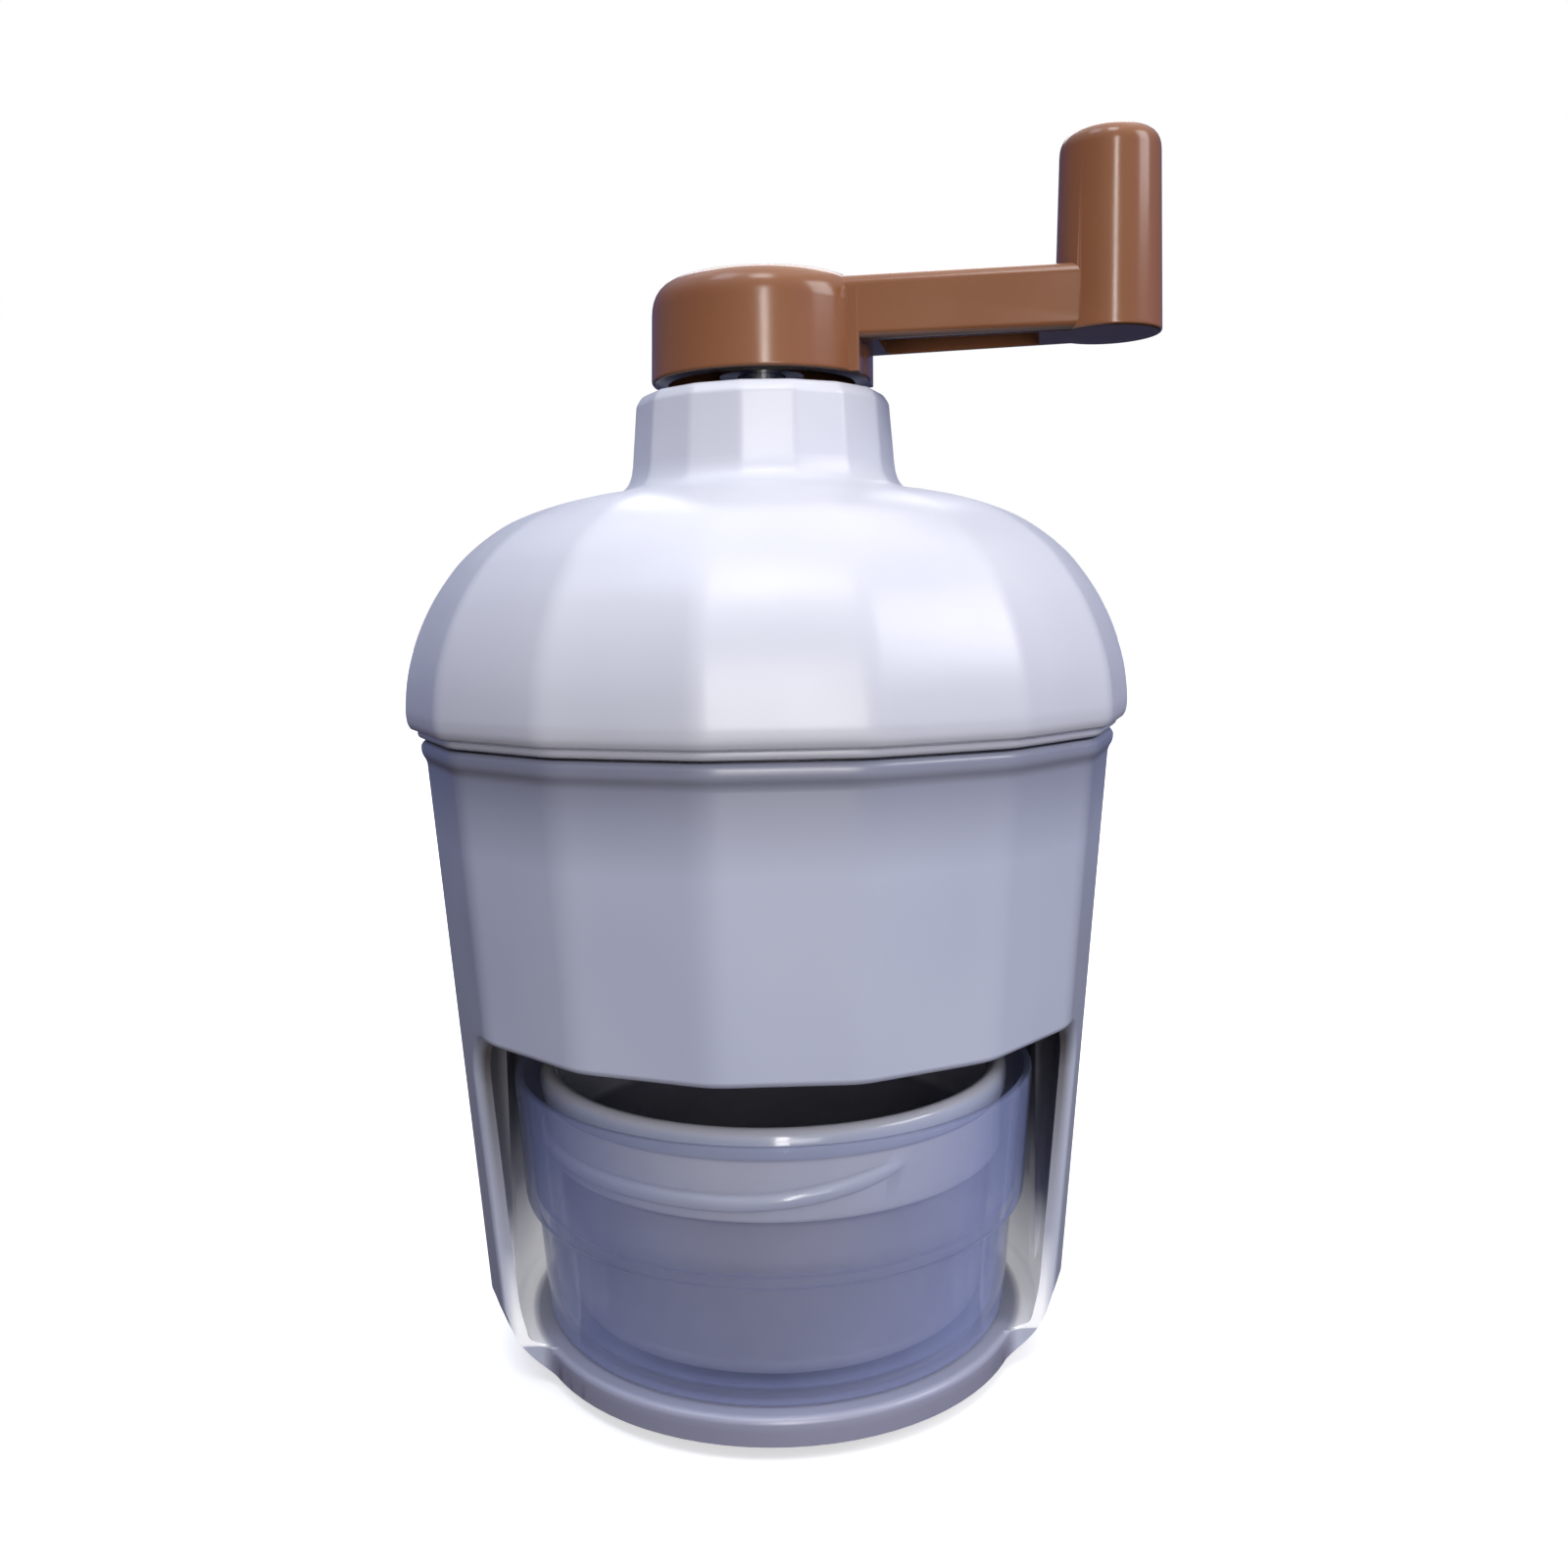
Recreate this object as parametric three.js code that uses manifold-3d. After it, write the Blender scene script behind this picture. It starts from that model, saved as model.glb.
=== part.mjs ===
// Hand-crank ice shaver: faceted body and lid, crank on a sprung shaft, blade chamber, cup and ice mould.
// Millimetres, +Z up, origin on the floor under the crank's axis. The window faces -Y.
import * as THREE from 'three';
import { mergeVertices } from 'three/addons/utils/BufferGeometryUtils.js';
import Module from 'manifold-3d';

const wasm = await Module();
wasm.setup();

// ---- driving dimensions -------------------------------------------------
const FACETS = 16;
const FACET_TURN = Math.PI / FACETS;
const ROUND_LARGE = 48;
const ROUND_MEDIUM = 32;
const ROUND_SMALL = 16;
const ROUND_SCREW = 10;
const GAP = 0.3;

// body
const BASE_Z = 2;
const FLOOR_TOP_Z = 7.5;
const BODY_LOW = [54.6, 14.6];
const BODY_HIGH = [61.9, 112.7];
const BODY_BEAD_R = 62.8;
const BODY_TOP_Z = 116.3;
const BODY_INNER_LOW = [51, 15];
const BODY_INNER_HIGH = [57.1, 99];
const RIM_INNER_R = 57.6;
const LEDGE_R = 52.5;
const LEDGE_Z = 106;
const FLOOR_DISC_R = 46;
const WINDOW_Y = -20;
const WINDOW_TOP_Z = 67;
const WINDOW_CORNER_R = 11;
const WINDOW_FOOT_R = 5;
const RIB_X = 50.2;
const RIB_HALF = 2.2;
const PAD = { r: 41, deep: 1.4 };

// ice chamber
const CHAMBER_R = 43.6;
const CHAMBER_WALL = 2;
const CHAMBER_FLOOR_Z = 71;
const CHAMBER_FLOOR = 3;
const FLANGE_Z = LEDGE_Z + GAP;
const FLANGE = 2;
const FLANGE_R = 57.2;
const CHAMBER_SCREWS = 3;
const CHAMBER_SCREW_R = 54.9;
const BLADE_TILT = THREE.MathUtils.degToRad(25);
const BLADE_EDGE = [-4, 74.5];
const BLADE_X = [6, 40];
const BLADE_LONG = 15;
const BLADE_THICK = 0.8;
const BLADE_SCREW_X = [13, 33];
const BLADE_SCREW_V = 10.5;

// lid
const LID_SEAM_Z = 116.7;
const SPIGOT = { inner: 53.4, outer: 57.1, z: 114.7 };
const SEAL = { inner: 53.6, outer: 57, z0: 112.7, z1: 114.4 };
const NECK_TOP_Z = 176;
const NECK_PLATE = 3.2;
const NECK_INNER_R = 19.3;
const NECK_BORE_R = 6.7;

// crank and shaft
const CRANK_TURN = THREE.MathUtils.degToRad(-14.25);
const HUB_R = [19.8, 19.3];
const HUB_EDGE = 0.8;
const HUB_ROOF = 3;
const HUB_Z = [178.1, 195.7];
const HUB_FILLET = 5.5;
const HUB_WALL = 2.5;
const BOSS_R = 7.6;
const BOSS_Z = 179.6;
const ARM_Z = [183.6, 194.6];
const ARM_FROM = 14.2;
const ARM_PAD = 19;
const ARM_HALF_ROOT = 9.4;
const ARM_HALF_TIP = 7.2;
const ARM_FILLET = 2.4;
const ARM_UNDER_FILLET = 2;
const CHANNEL_WALL = 2.2;
const CHANNEL_DEEP = 4.5;
const GRIP_AT = 60.5;
const GRIP_R = [9, 8.3];
const GRIP_TOP_Z = 216.4;
const GRIP_FILLET = 3;
const SHAFT_R = 4;
const SHAFT_Z = [75.6, 190];
const COLLAR = { r: 8.5, z0: 96, z1: 98 };
const WASHER = { r: 10.5, z0: 98.3, z1: 99.8 };
const SPRING = { r: 8.3, wire: 0.75, z0: 100.1, z1: 172.5, coils: 9 };
const PRESSER_R = 42.4;
const PRESSER_Z = [78.3, 81.3];
const TEETH_Z = 75.3;
const PIN_Z = 184;

// cup and mould
const CUP_WALL = 1.6;
const CUP_FOOT = [43.6, FLOOR_TOP_Z + GAP];
const CUP_STEP_LOW = [45.2, 29.6];
const CUP_STEP_HIGH = [47.2, 31.2];
const CUP_RIM = [48.7, 54.2];
const CUP_FLOOR_Z = 9.6;
const MOULD_Z = 9.9;
const MOULD_R = [39.8, 41.2];
const MOULD_WALL = 1.6;
const NECK_BAND = { r: 43.2, z: 39.6 };
const BEAD = { r: 44.1, z0: 50, z1: 55.4 };
const RIDGE = { r: 44.3, from: 32, to: -150, drop: 48, high: 48, low: 42.8, half: 1.7 };

// ---- materials ----------------------------------------------------------
const FINISH = {
  white: [0xdfe3ee, 0.35, 0],
  brown: [0x8a5f45, 0.4, 0],
  clear: [0xb9c4e6, 0.1, 0],
  milky: [0xdde4f2, 0.35, 0],
  bush: [0xc9cbd2, 0.5, 0],
  rubber: [0x55565c, 0.85, 0],
  seal: [0xe6e6ea, 0.8, 0],
  steel: [0xb8bcc2, 0.25, 1],
  spring: [0x9ca0a8, 0.35, 1],
};

// ---- solid helpers ------------------------------------------------------
function toSolid(geometry) {
  const bare = new THREE.BufferGeometry();
  bare.setAttribute('position', geometry.getAttribute('position'));
  if (geometry.index) bare.setIndex(geometry.index);
  const merged = mergeVertices(bare, 1e-4);
  const index = merged.index.array;
  const kept = [];
  for (let i = 0; i < index.length; i += 3) {
    const [a, b, c] = [index[i], index[i + 1], index[i + 2]];
    if (a !== b && b !== c && c !== a) kept.push(a, b, c);
  }
  const mesh = new wasm.Mesh({
    numProp: 3,
    vertProperties: new Float32Array(merged.getAttribute('position').array),
    triVerts: new Uint32Array(kept),
  });
  return new wasm.Manifold(mesh);
}

function lathe(profile, segments, start = 0) {
  const points = profile.map(([r, z]) => new THREE.Vector2(r, z));
  const geometry = new THREE.LatheGeometry(points, segments, start);
  geometry.rotateX(Math.PI / 2);
  return toSolid(geometry);
}

function ring(inner, outer, z0, z1, segments) {
  return lathe([[inner, z0], [outer, z0], [outer, z1], [inner, z1], [inner, z0]], segments);
}

function disc(radius, z0, z1, segments) {
  return lathe([[0, z0], [radius, z0], [radius, z1], [0, z1]], segments);
}

function box(x0, x1, y0, y1, z0, z1) {
  const geometry = new THREE.BoxGeometry(x1 - x0, y1 - y0, z1 - z0);
  geometry.translate((x0 + x1) / 2, (y0 + y1) / 2, (z0 + z1) / 2);
  return toSolid(geometry);
}

function extrude(points, z0, z1) {
  const shape = new THREE.Shape(points.map(([x, y]) => new THREE.Vector2(x, y)));
  const geometry = new THREE.ExtrudeGeometry(shape, { depth: z1 - z0, bevelEnabled: false });
  geometry.translate(0, 0, z0);
  return toSolid(geometry);
}

// skin through equal rings of points, the first and last closed by a fan
function loft(rings) {
  const count = rings[0].length;
  const positions = rings.flat(2);
  const index = [];
  for (let i = 0; i + 1 < rings.length; i += 1) {
    for (let j = 0; j < count; j += 1) {
      const a = i * count + j;
      const b = i * count + ((j + 1) % count);
      index.push(a, b, b + count, a, b + count, a + count);
    }
  }
  const last = (rings.length - 1) * count;
  for (let j = 1; j + 1 < count; j += 1) {
    index.push(0, j + 1, j);
    index.push(last, last + j, last + j + 1);
  }
  const geometry = new THREE.BufferGeometry();
  geometry.setAttribute('position', new THREE.Float32BufferAttribute(positions, 3));
  geometry.setIndex(index);
  return toSolid(geometry);
}

function arc(cx, cy, radius, from, to, steps) {
  const points = [];
  for (let i = 0; i <= steps; i += 1) {
    const angle = THREE.MathUtils.degToRad(from + ((to - from) * i) / steps);
    points.push([cx + radius * Math.cos(angle), cy + radius * Math.sin(angle)]);
  }
  return points;
}

function turned(solid, angle) {
  return solid.rotate([0, 0, THREE.MathUtils.radToDeg(angle)]);
}

function part(name, solid, finish) {
  const out = solid.getMesh();
  const geometry = new THREE.BufferGeometry();
  geometry.setAttribute('position', new THREE.BufferAttribute(new Float32Array(out.vertProperties), 3));
  geometry.setIndex(new THREE.BufferAttribute(new Uint32Array(out.triVerts), 1));
  geometry.computeVertexNormals();
  const [color, roughness, metalness] = FINISH[finish];
  const mesh = new THREE.Mesh(geometry, new THREE.MeshStandardMaterial({ color, roughness, metalness }));
  mesh.name = name;
  return mesh;
}

// ---- body ---------------------------------------------------------------
function bodyOuter() {
  return lathe([
    [0, BASE_Z],
    [45.2, BASE_Z],
    [46.3, 2.5],
    [48.6, 4.3],
    [51.1, 7],
    [53.2, 10.4],
    BODY_LOW,
    BODY_HIGH,
    [BODY_BEAD_R - 0.4, 113.4],
    [BODY_BEAD_R, 114.1],
    [BODY_BEAD_R, 115.6],
    [BODY_BEAD_R - 0.6, BODY_TOP_Z],
    [0, BODY_TOP_Z],
  ], FACETS, FACET_TURN);
}

function bodyCavity() {
  return lathe([
    [0, FLOOR_TOP_Z],
    [46.5, FLOOR_TOP_Z],
    [49.4, 8.7],
    [50.6, 11.2],
    BODY_INNER_LOW,
    BODY_INNER_HIGH,
    [LEDGE_R, 103.6],
    [LEDGE_R, LEDGE_Z],
    [RIM_INNER_R, LEDGE_Z],
    [RIM_INNER_R, BODY_TOP_Z + 1],
    [0, BODY_TOP_Z + 1],
  ], ROUND_LARGE);
}

// everything ahead of the window plane, up to its rounded upper corner
function windowUpper() {
  const reach = 80;
  const corner = arc(WINDOW_Y - WINDOW_CORNER_R, WINDOW_TOP_Z - WINDOW_CORNER_R, WINDOW_CORNER_R, 0, 90, 4);
  const outline = [[-reach, FLOOR_TOP_Z], [WINDOW_Y, FLOOR_TOP_Z], ...corner, [-reach, WINDOW_TOP_Z]];
  const rings = [-reach, reach].map((x) => outline.map(([y, z]) => [x, y, z]));
  return loft(rings);
}

// below the floor's top the window leaves the floor disc, with a hollow fillet at each side
function windowLower() {
  const reach = 80;
  const side = Math.sqrt((FLOOR_DISC_R + WINDOW_FOOT_R) ** 2 - (WINDOW_FOOT_R - WINDOW_Y) ** 2);
  const touch = THREE.MathUtils.radToDeg(Math.atan2(WINDOW_Y - WINDOW_FOOT_R, side));
  const right = arc(side, WINDOW_Y - WINDOW_FOOT_R, WINDOW_FOOT_R, 90, 180 + touch, 4);
  const front = arc(0, 0, FLOOR_DISC_R, touch, -180 - touch, 20).slice(1, -1);
  const left = right.map(([x, y]) => [-x, y]).reverse();
  const outline = [
    [reach, -reach], [reach, WINDOW_Y], ...right, ...front, ...left, [-reach, WINDOW_Y], [-reach, -reach],
  ];
  return extrude(outline, BASE_Z - 2, FLOOR_TOP_Z);
}

function bodyShell() {
  const outer = bodyOuter();
  const ribBlock = box(RIB_X, 70, -RIB_HALF, RIB_HALF, FLOOR_TOP_Z - 1, LEDGE_Z - 8);
  const ribs = ribBlock.add(ribBlock.mirror([1, 0, 0])).intersect(outer);
  let shell = outer.subtract(bodyCavity()).add(ribs);
  shell = shell.subtract(windowUpper()).subtract(windowLower());
  shell = shell.subtract(disc(PAD.r + GAP, 0, BASE_Z + PAD.deep, ROUND_LARGE));
  for (let i = 0; i < CHAMBER_SCREWS; i += 1) {
    shell = shell.subtract(chamberScrewHole(i));
  }
  return shell;
}

function basePad() {
  const top = BASE_Z + PAD.deep - GAP;
  return lathe([[0, 0], [PAD.r - 0.8, 0], [PAD.r, 0.8], [PAD.r, top], [0, top]], ROUND_LARGE);
}

// ---- ice chamber and blade ----------------------------------------------
function atChamberScrew(solid, i) {
  return turned(solid.translate([0, CHAMBER_SCREW_R, 0]), (i * 2 * Math.PI) / CHAMBER_SCREWS);
}

function chamberScrewHole(i) {
  return atChamberScrew(disc(1.6, 103.8, 112, ROUND_SCREW), i);
}

function chamberScrew(i) {
  const seat = FLANGE_Z + FLANGE + GAP;
  const head = [[2.3, seat], [2.3, seat + 1.1], [1.5, seat + 1.7], [0, seat + 1.7]];
  const screw = lathe([[0, 104.2], [1.25, 104.2], [1.25, seat], ...head], ROUND_SCREW);
  return atChamberScrew(screw, i);
}

// v runs down the blade from its edge, w stands on its upper face
function bladeFrame(points, x0, x1) {
  const rings = [x0, x1].map((x) => points.map(([v, w]) => {
    const y = BLADE_EDGE[0] + v * Math.cos(BLADE_TILT) + w * Math.sin(BLADE_TILT);
    const z = BLADE_EDGE[1] - v * Math.sin(BLADE_TILT) + w * Math.cos(BLADE_TILT);
    return [x, y, z];
  }));
  return loft(rings);
}

function bladeBore(radius, x, w0, w1) {
  const lean = THREE.MathUtils.radToDeg(-BLADE_TILT);
  const y = BLADE_EDGE[0] + BLADE_SCREW_V * Math.cos(BLADE_TILT);
  const z = BLADE_EDGE[1] - BLADE_SCREW_V * Math.sin(BLADE_TILT);
  return disc(radius, w0, w1, ROUND_SCREW).rotate([lean, 0, 0]).translate([x, y, z]);
}

function bladeScrewBores() {
  const [first, second] = BLADE_SCREW_X.map((x) => bladeBore(1.45, x, -6, 3.4));
  return first.add(second);
}

function blade() {
  const section = [[0, 0], [1.8, -BLADE_THICK], [BLADE_LONG, -BLADE_THICK], [BLADE_LONG, 0]];
  const strip = bladeFrame(section, ...BLADE_X);
  return strip.subtract(bladeScrewBores());
}

function bladeClamp() {
  const top = -BLADE_THICK - GAP;
  const plate = bladeFrame([[6.4, top], [6.4, top - 1.3], [14.2, top - 1.3], [14.2, top]], 8, 38);
  return plate.subtract(bladeScrewBores());
}

function bladeScrew(i) {
  const seat = -BLADE_THICK - GAP - 1.3 - GAP;
  const shank = bladeBore(1.15, BLADE_SCREW_X[i], seat - 0.2, 3);
  return shank.add(bladeBore(2.4, BLADE_SCREW_X[i], seat - 1.4, seat));
}

function iceChamber() {
  const outerR = CHAMBER_R + CHAMBER_WALL;
  const floorTop = CHAMBER_FLOOR_Z + CHAMBER_FLOOR;
  let chamber = lathe([
    [0, CHAMBER_FLOOR_Z],
    [outerR, CHAMBER_FLOOR_Z],
    [outerR, FLANGE_Z],
    [FLANGE_R, FLANGE_Z],
    [FLANGE_R, FLANGE_Z + FLANGE],
    [CHAMBER_R, FLANGE_Z + FLANGE],
    [CHAMBER_R, floorTop],
    [0, floorTop],
  ], ROUND_LARGE);
  const seatEnd = BLADE_LONG - 0.4;
  const seat = bladeFrame([[3, GAP], [seatEnd, GAP], [seatEnd, 5], [3, 5]], BLADE_X[0] - 1, BLADE_X[1]);
  chamber = chamber.add(seat.intersect(disc(outerR, 60, floorTop - 1, ROUND_LARGE)));
  const throat = box(BLADE_X[0] - 1.5, BLADE_X[1] + 0.7, -9.5, -1, CHAMBER_FLOOR_Z - 2, floorTop + 2);
  const roomEnd = BLADE_LONG + 0.4;
  const roomSection = [[-3, GAP], [-3, -5], [roomEnd, -5], [roomEnd, GAP]];
  const bladeRoom = bladeFrame(roomSection, BLADE_X[0] - 0.5, BLADE_X[1] + 0.5);
  chamber = chamber.subtract(throat).subtract(bladeRoom).subtract(bladeScrewBores());
  for (let i = 0; i < CHAMBER_SCREWS; i += 1) {
    chamber = chamber.subtract(chamberScrewHole(i));
  }
  return chamber;
}

// ---- lid ----------------------------------------------------------------
function lidOuter() {
  return lathe([
    [0, LID_SEAM_Z],
    [62.7, LID_SEAM_Z],
    [63.2, 117.2],
    [63.2, 118.1],
    [64.3, 118.3],
    [64.9, 119.2],
    [65.1, 120.6],
    [65.1, 122.6],
    [64.6, 126.5],
    [63.6, 130.8],
    [61.8, 135.8],
    [59.2, 140.8],
    [55.6, 145.8],
    [52.9, 148.6],
    [49.8, 151.1],
    [46.4, 153.3],
    [42.4, 155.2],
    [37.8, 156.6],
    [32.6, 157.8],
    [28.2, 158.6],
    [25.4, 159.5],
    [24.3, 161],
    [23.8, 163.2],
    [22.9, 174],
    [22.4, 175.2],
    [21.3, NECK_TOP_Z],
    [0, NECK_TOP_Z],
  ], FACETS, FACET_TURN);
}

function lidCavity() {
  return lathe([
    [0, LID_SEAM_Z - 1],
    [SPIGOT.inner, LID_SEAM_Z - 1],
    [SPIGOT.inner, 118.9],
    [60.4, 120.6],
    [61.2, 124],
    [60.2, 130.4],
    [57.8, 136.6],
    [53.6, 142.8],
    [47.6, 148.4],
    [40, 152.6],
    [30, 155.6],
    [NECK_INNER_R + 1.5, 157.4],
    [NECK_INNER_R, 159],
    [NECK_INNER_R, NECK_TOP_Z - NECK_PLATE],
    [0, NECK_TOP_Z - NECK_PLATE],
  ], ROUND_LARGE);
}

function lidDome() {
  const spigot = ring(SPIGOT.inner, SPIGOT.outer, SPIGOT.z, LID_SEAM_Z + 1, ROUND_LARGE);
  const bore = disc(NECK_BORE_R, NECK_TOP_Z - NECK_PLATE - 1, NECK_TOP_Z + 1, ROUND_MEDIUM);
  return lidOuter().subtract(lidCavity()).add(spigot).subtract(bore);
}

function lidSeal() {
  const groove = 0.5;
  const middle = (SEAL.z0 + SEAL.z1) / 2;
  return lathe([
    [SEAL.inner, SEAL.z0],
    [SEAL.outer, SEAL.z0],
    [SEAL.outer - groove, middle],
    [SEAL.outer, SEAL.z1],
    [SEAL.inner, SEAL.z1],
    [SEAL.inner, SEAL.z0],
  ], ROUND_LARGE);
}

function neckBush() {
  const outer = NECK_BORE_R - GAP;
  const inner = SHAFT_R + GAP;
  const flange = NECK_TOP_Z + GAP;
  return lathe([
    [inner, 170.6],
    [outer, 170.6],
    [outer, flange],
    [9.4, flange],
    [9.4, flange + 1.2],
    [inner, flange + 1.2],
    [inner, 170.6],
  ], ROUND_MEDIUM);
}

// ---- crank, shaft and presser -------------------------------------------
function crankHub() {
  const [low, high] = HUB_R;
  const fillet = arc(high - HUB_FILLET, HUB_Z[1] - HUB_FILLET, HUB_FILLET, 0, 90, 6);
  const foot = [[0, HUB_Z[0]], [low - HUB_EDGE, HUB_Z[0]], [low, HUB_Z[0] + HUB_EDGE]];
  const outside = lathe([...foot, ...fillet, [0, HUB_Z[1]]], ROUND_LARGE);
  const pad = box(0, ARM_PAD, -ARM_HALF_ROOT, ARM_HALF_ROOT, HUB_Z[0] + 0.2, ARM_Z[1] - ARM_FILLET);
  return outside.add(pad);
}

function hubHollow() {
  const roof = HUB_Z[1] - HUB_ROOF;
  const inside = HUB_R[1] - HUB_WALL;
  return lathe([
    [BOSS_R, HUB_Z[0] - 1],
    [inside, HUB_Z[0] - 1],
    [inside, roof - 2.5],
    [inside - 2.5, roof],
    [BOSS_R, roof],
    [BOSS_R, HUB_Z[0] - 1],
  ], ROUND_LARGE);
}

function armSection(x, half) {
  const [under, top] = [ARM_UNDER_FILLET, ARM_FILLET];
  const low = arc(half - under, ARM_Z[0] + under, under, -90, 0, 3);
  const high = arc(half - top, ARM_Z[1] - top, top, 0, 90, 3);
  const right = [...low, ...high];
  const left = right.map(([y, z]) => [-y, z]).reverse();
  return [...right, ...left].map(([y, z]) => [x, y, z]);
}

function armHalf(x) {
  return ARM_HALF_ROOT + ((ARM_HALF_TIP - ARM_HALF_ROOT) * (x - ARM_FROM)) / (GRIP_AT - ARM_FROM);
}

// plain tapered bar with a channel hollowed from below
function crankArm() {
  const arm = loft([ARM_FROM, GRIP_AT].map((x) => armSection(x, armHalf(x))));
  const channel = [ARM_PAD + 3, GRIP_AT - GRIP_R[0] - 2.5].map((x) => {
    const half = armHalf(x) - CHANNEL_WALL;
    const [low, high] = [ARM_Z[0] - 1, ARM_Z[0] + CHANNEL_DEEP];
    return [[x, -half, low], [x, half, low], [x, half, high], [x, -half, high]];
  });
  return arm.subtract(loft(channel));
}

function crankGrip() {
  const [low, high] = GRIP_R;
  const fillet = arc(high - GRIP_FILLET, GRIP_TOP_Z - GRIP_FILLET, GRIP_FILLET, 0, 90, 4);
  const profile = [[0, ARM_Z[0]], [low - 0.5, ARM_Z[0]], [low, ARM_Z[0] + 0.5], ...fillet, [0, GRIP_TOP_Z]];
  return lathe(profile, ROUND_MEDIUM).translate([GRIP_AT, 0, 0]);
}

function pinBore(radius, half) {
  return disc(radius, -half, half, ROUND_SCREW).rotate([90, 0, 0]).translate([0, 0, PIN_Z]);
}

function crankHandle() {
  const solid = crankHub().add(crankArm()).add(crankGrip()).subtract(hubHollow());
  const underBoss = disc(BOSS_R + 0.5, HUB_Z[0] - 1, BOSS_Z, ROUND_MEDIUM);
  const bore = disc(SHAFT_R + GAP, HUB_Z[0] - 1, SHAFT_Z[1] + GAP, ROUND_MEDIUM);
  return turned(solid.subtract(underBoss).subtract(bore).subtract(pinBore(1.3, BOSS_R + 1)), CRANK_TURN);
}

function hubPin() {
  return turned(pinBore(1, BOSS_R - 0.2), CRANK_TURN);
}

function driveShaft() {
  const shaft = lathe([
    [0, SHAFT_Z[0]],
    [SHAFT_R - 0.6, SHAFT_Z[0]],
    [SHAFT_R, SHAFT_Z[0] + 0.6],
    [SHAFT_R, COLLAR.z0],
    [COLLAR.r, COLLAR.z0],
    [COLLAR.r, COLLAR.z1],
    [SHAFT_R, COLLAR.z1],
    [SHAFT_R, SHAFT_Z[1] - 0.6],
    [SHAFT_R - 0.6, SHAFT_Z[1]],
    [0, SHAFT_Z[1]],
  ], ROUND_MEDIUM);
  return turned(shaft.subtract(pinBore(1.3, BOSS_R + 1)), CRANK_TURN);
}

function thrustWasher() {
  return ring(SHAFT_R + GAP, WASHER.r, WASHER.z0, WASHER.z1, ROUND_MEDIUM);
}

class Helix extends THREE.Curve {
  getPoint(t) {
    const angle = t * SPRING.coils * 2 * Math.PI;
    const low = SPRING.z0 + SPRING.wire;
    const high = SPRING.z1 - SPRING.wire;
    return new THREE.Vector3(SPRING.r * Math.cos(angle), SPRING.r * Math.sin(angle), low + (high - low) * t);
  }
}

function pressureSpring() {
  const corners = arc(0, 0, SPRING.wire, 0, 288, 4);
  const wire = new THREE.Shape(corners.map(([x, y]) => new THREE.Vector2(x, y)));
  const steps = SPRING.coils * 12;
  const coil = toSolid(new THREE.ExtrudeGeometry(wire, { steps, extrudePath: new Helix() }));
  return coil.intersect(disc(12, SPRING.z0, SPRING.z1, ROUND_SMALL));
}

function presserPlate() {
  const plate = lathe([
    [SHAFT_R + GAP, PRESSER_Z[0]],
    [PRESSER_R, PRESSER_Z[0]],
    [PRESSER_R, PRESSER_Z[1] - 0.6],
    [PRESSER_R - 0.6, PRESSER_Z[1]],
    [9, PRESSER_Z[1]],
    [8, PRESSER_Z[1] + 6],
    [SHAFT_R + GAP, PRESSER_Z[1] + 6],
    [SHAFT_R + GAP, PRESSER_Z[0]],
  ], ROUND_LARGE);
  const rib = box(7, PRESSER_R - 4, -0.9, 0.9, PRESSER_Z[1] - 0.5, PRESSER_Z[1] + 3);
  let solid = plate;
  for (let i = 0; i < 6; i += 1) {
    solid = solid.add(turned(rib, (i * Math.PI) / 3));
  }
  return solid;
}

function toothedPlate() {
  const top = PRESSER_Z[0] - GAP;
  const under = top - 1;
  let solid = ring(14, 37, under, top, ROUND_MEDIUM);
  const tooth = lathe([[0, TEETH_Z], [1.9, under + 0.4], [0, under + 0.4]], 6);
  for (const [count, radius, shift] of [[6, 19, 0], [10, 32, 0.3]]) {
    for (let i = 0; i < count; i += 1) {
      solid = solid.add(turned(tooth.translate([radius, 0, 0]), shift + (i * 2 * Math.PI) / count));
    }
  }
  return solid;
}

function presserNut() {
  const [low, high] = [SHAFT_Z[0] - 0.2, PRESSER_Z[0] - GAP];
  return disc(7, low, high, 6).subtract(disc(SHAFT_R + GAP, low - 1, high + 1, ROUND_MEDIUM));
}

// ---- cup and mould ------------------------------------------------------
function receiverCup() {
  const [rimR, rimZ] = CUP_RIM;
  const w = CUP_WALL;
  return lathe([
    [0, CUP_FOOT[1] + 0.6],
    [CUP_FOOT[0] - 4, CUP_FOOT[1] + 0.6],
    [CUP_FOOT[0] - 3.6, CUP_FOOT[1]],
    [CUP_FOOT[0] - 0.8, CUP_FOOT[1]],
    [CUP_FOOT[0], CUP_FOOT[1] + 0.8],
    CUP_STEP_LOW,
    [CUP_STEP_HIGH[0] - 0.4, CUP_STEP_LOW[1] + 0.5],
    CUP_STEP_HIGH,
    [rimR, rimZ - 0.5],
    [rimR - 0.5, rimZ],
    [rimR - w + 0.3, rimZ],
    [rimR - w, rimZ - 0.4],
    [CUP_STEP_HIGH[0] - w, CUP_STEP_HIGH[1] + 0.6],
    [CUP_STEP_LOW[0] - w, CUP_STEP_LOW[1] + 0.8],
    [CUP_FOOT[0] - w, CUP_FLOOR_Z + 1.2],
    [CUP_FOOT[0] - w - 1, CUP_FLOOR_Z],
    [0, CUP_FLOOR_Z],
  ], ROUND_LARGE);
}

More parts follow.
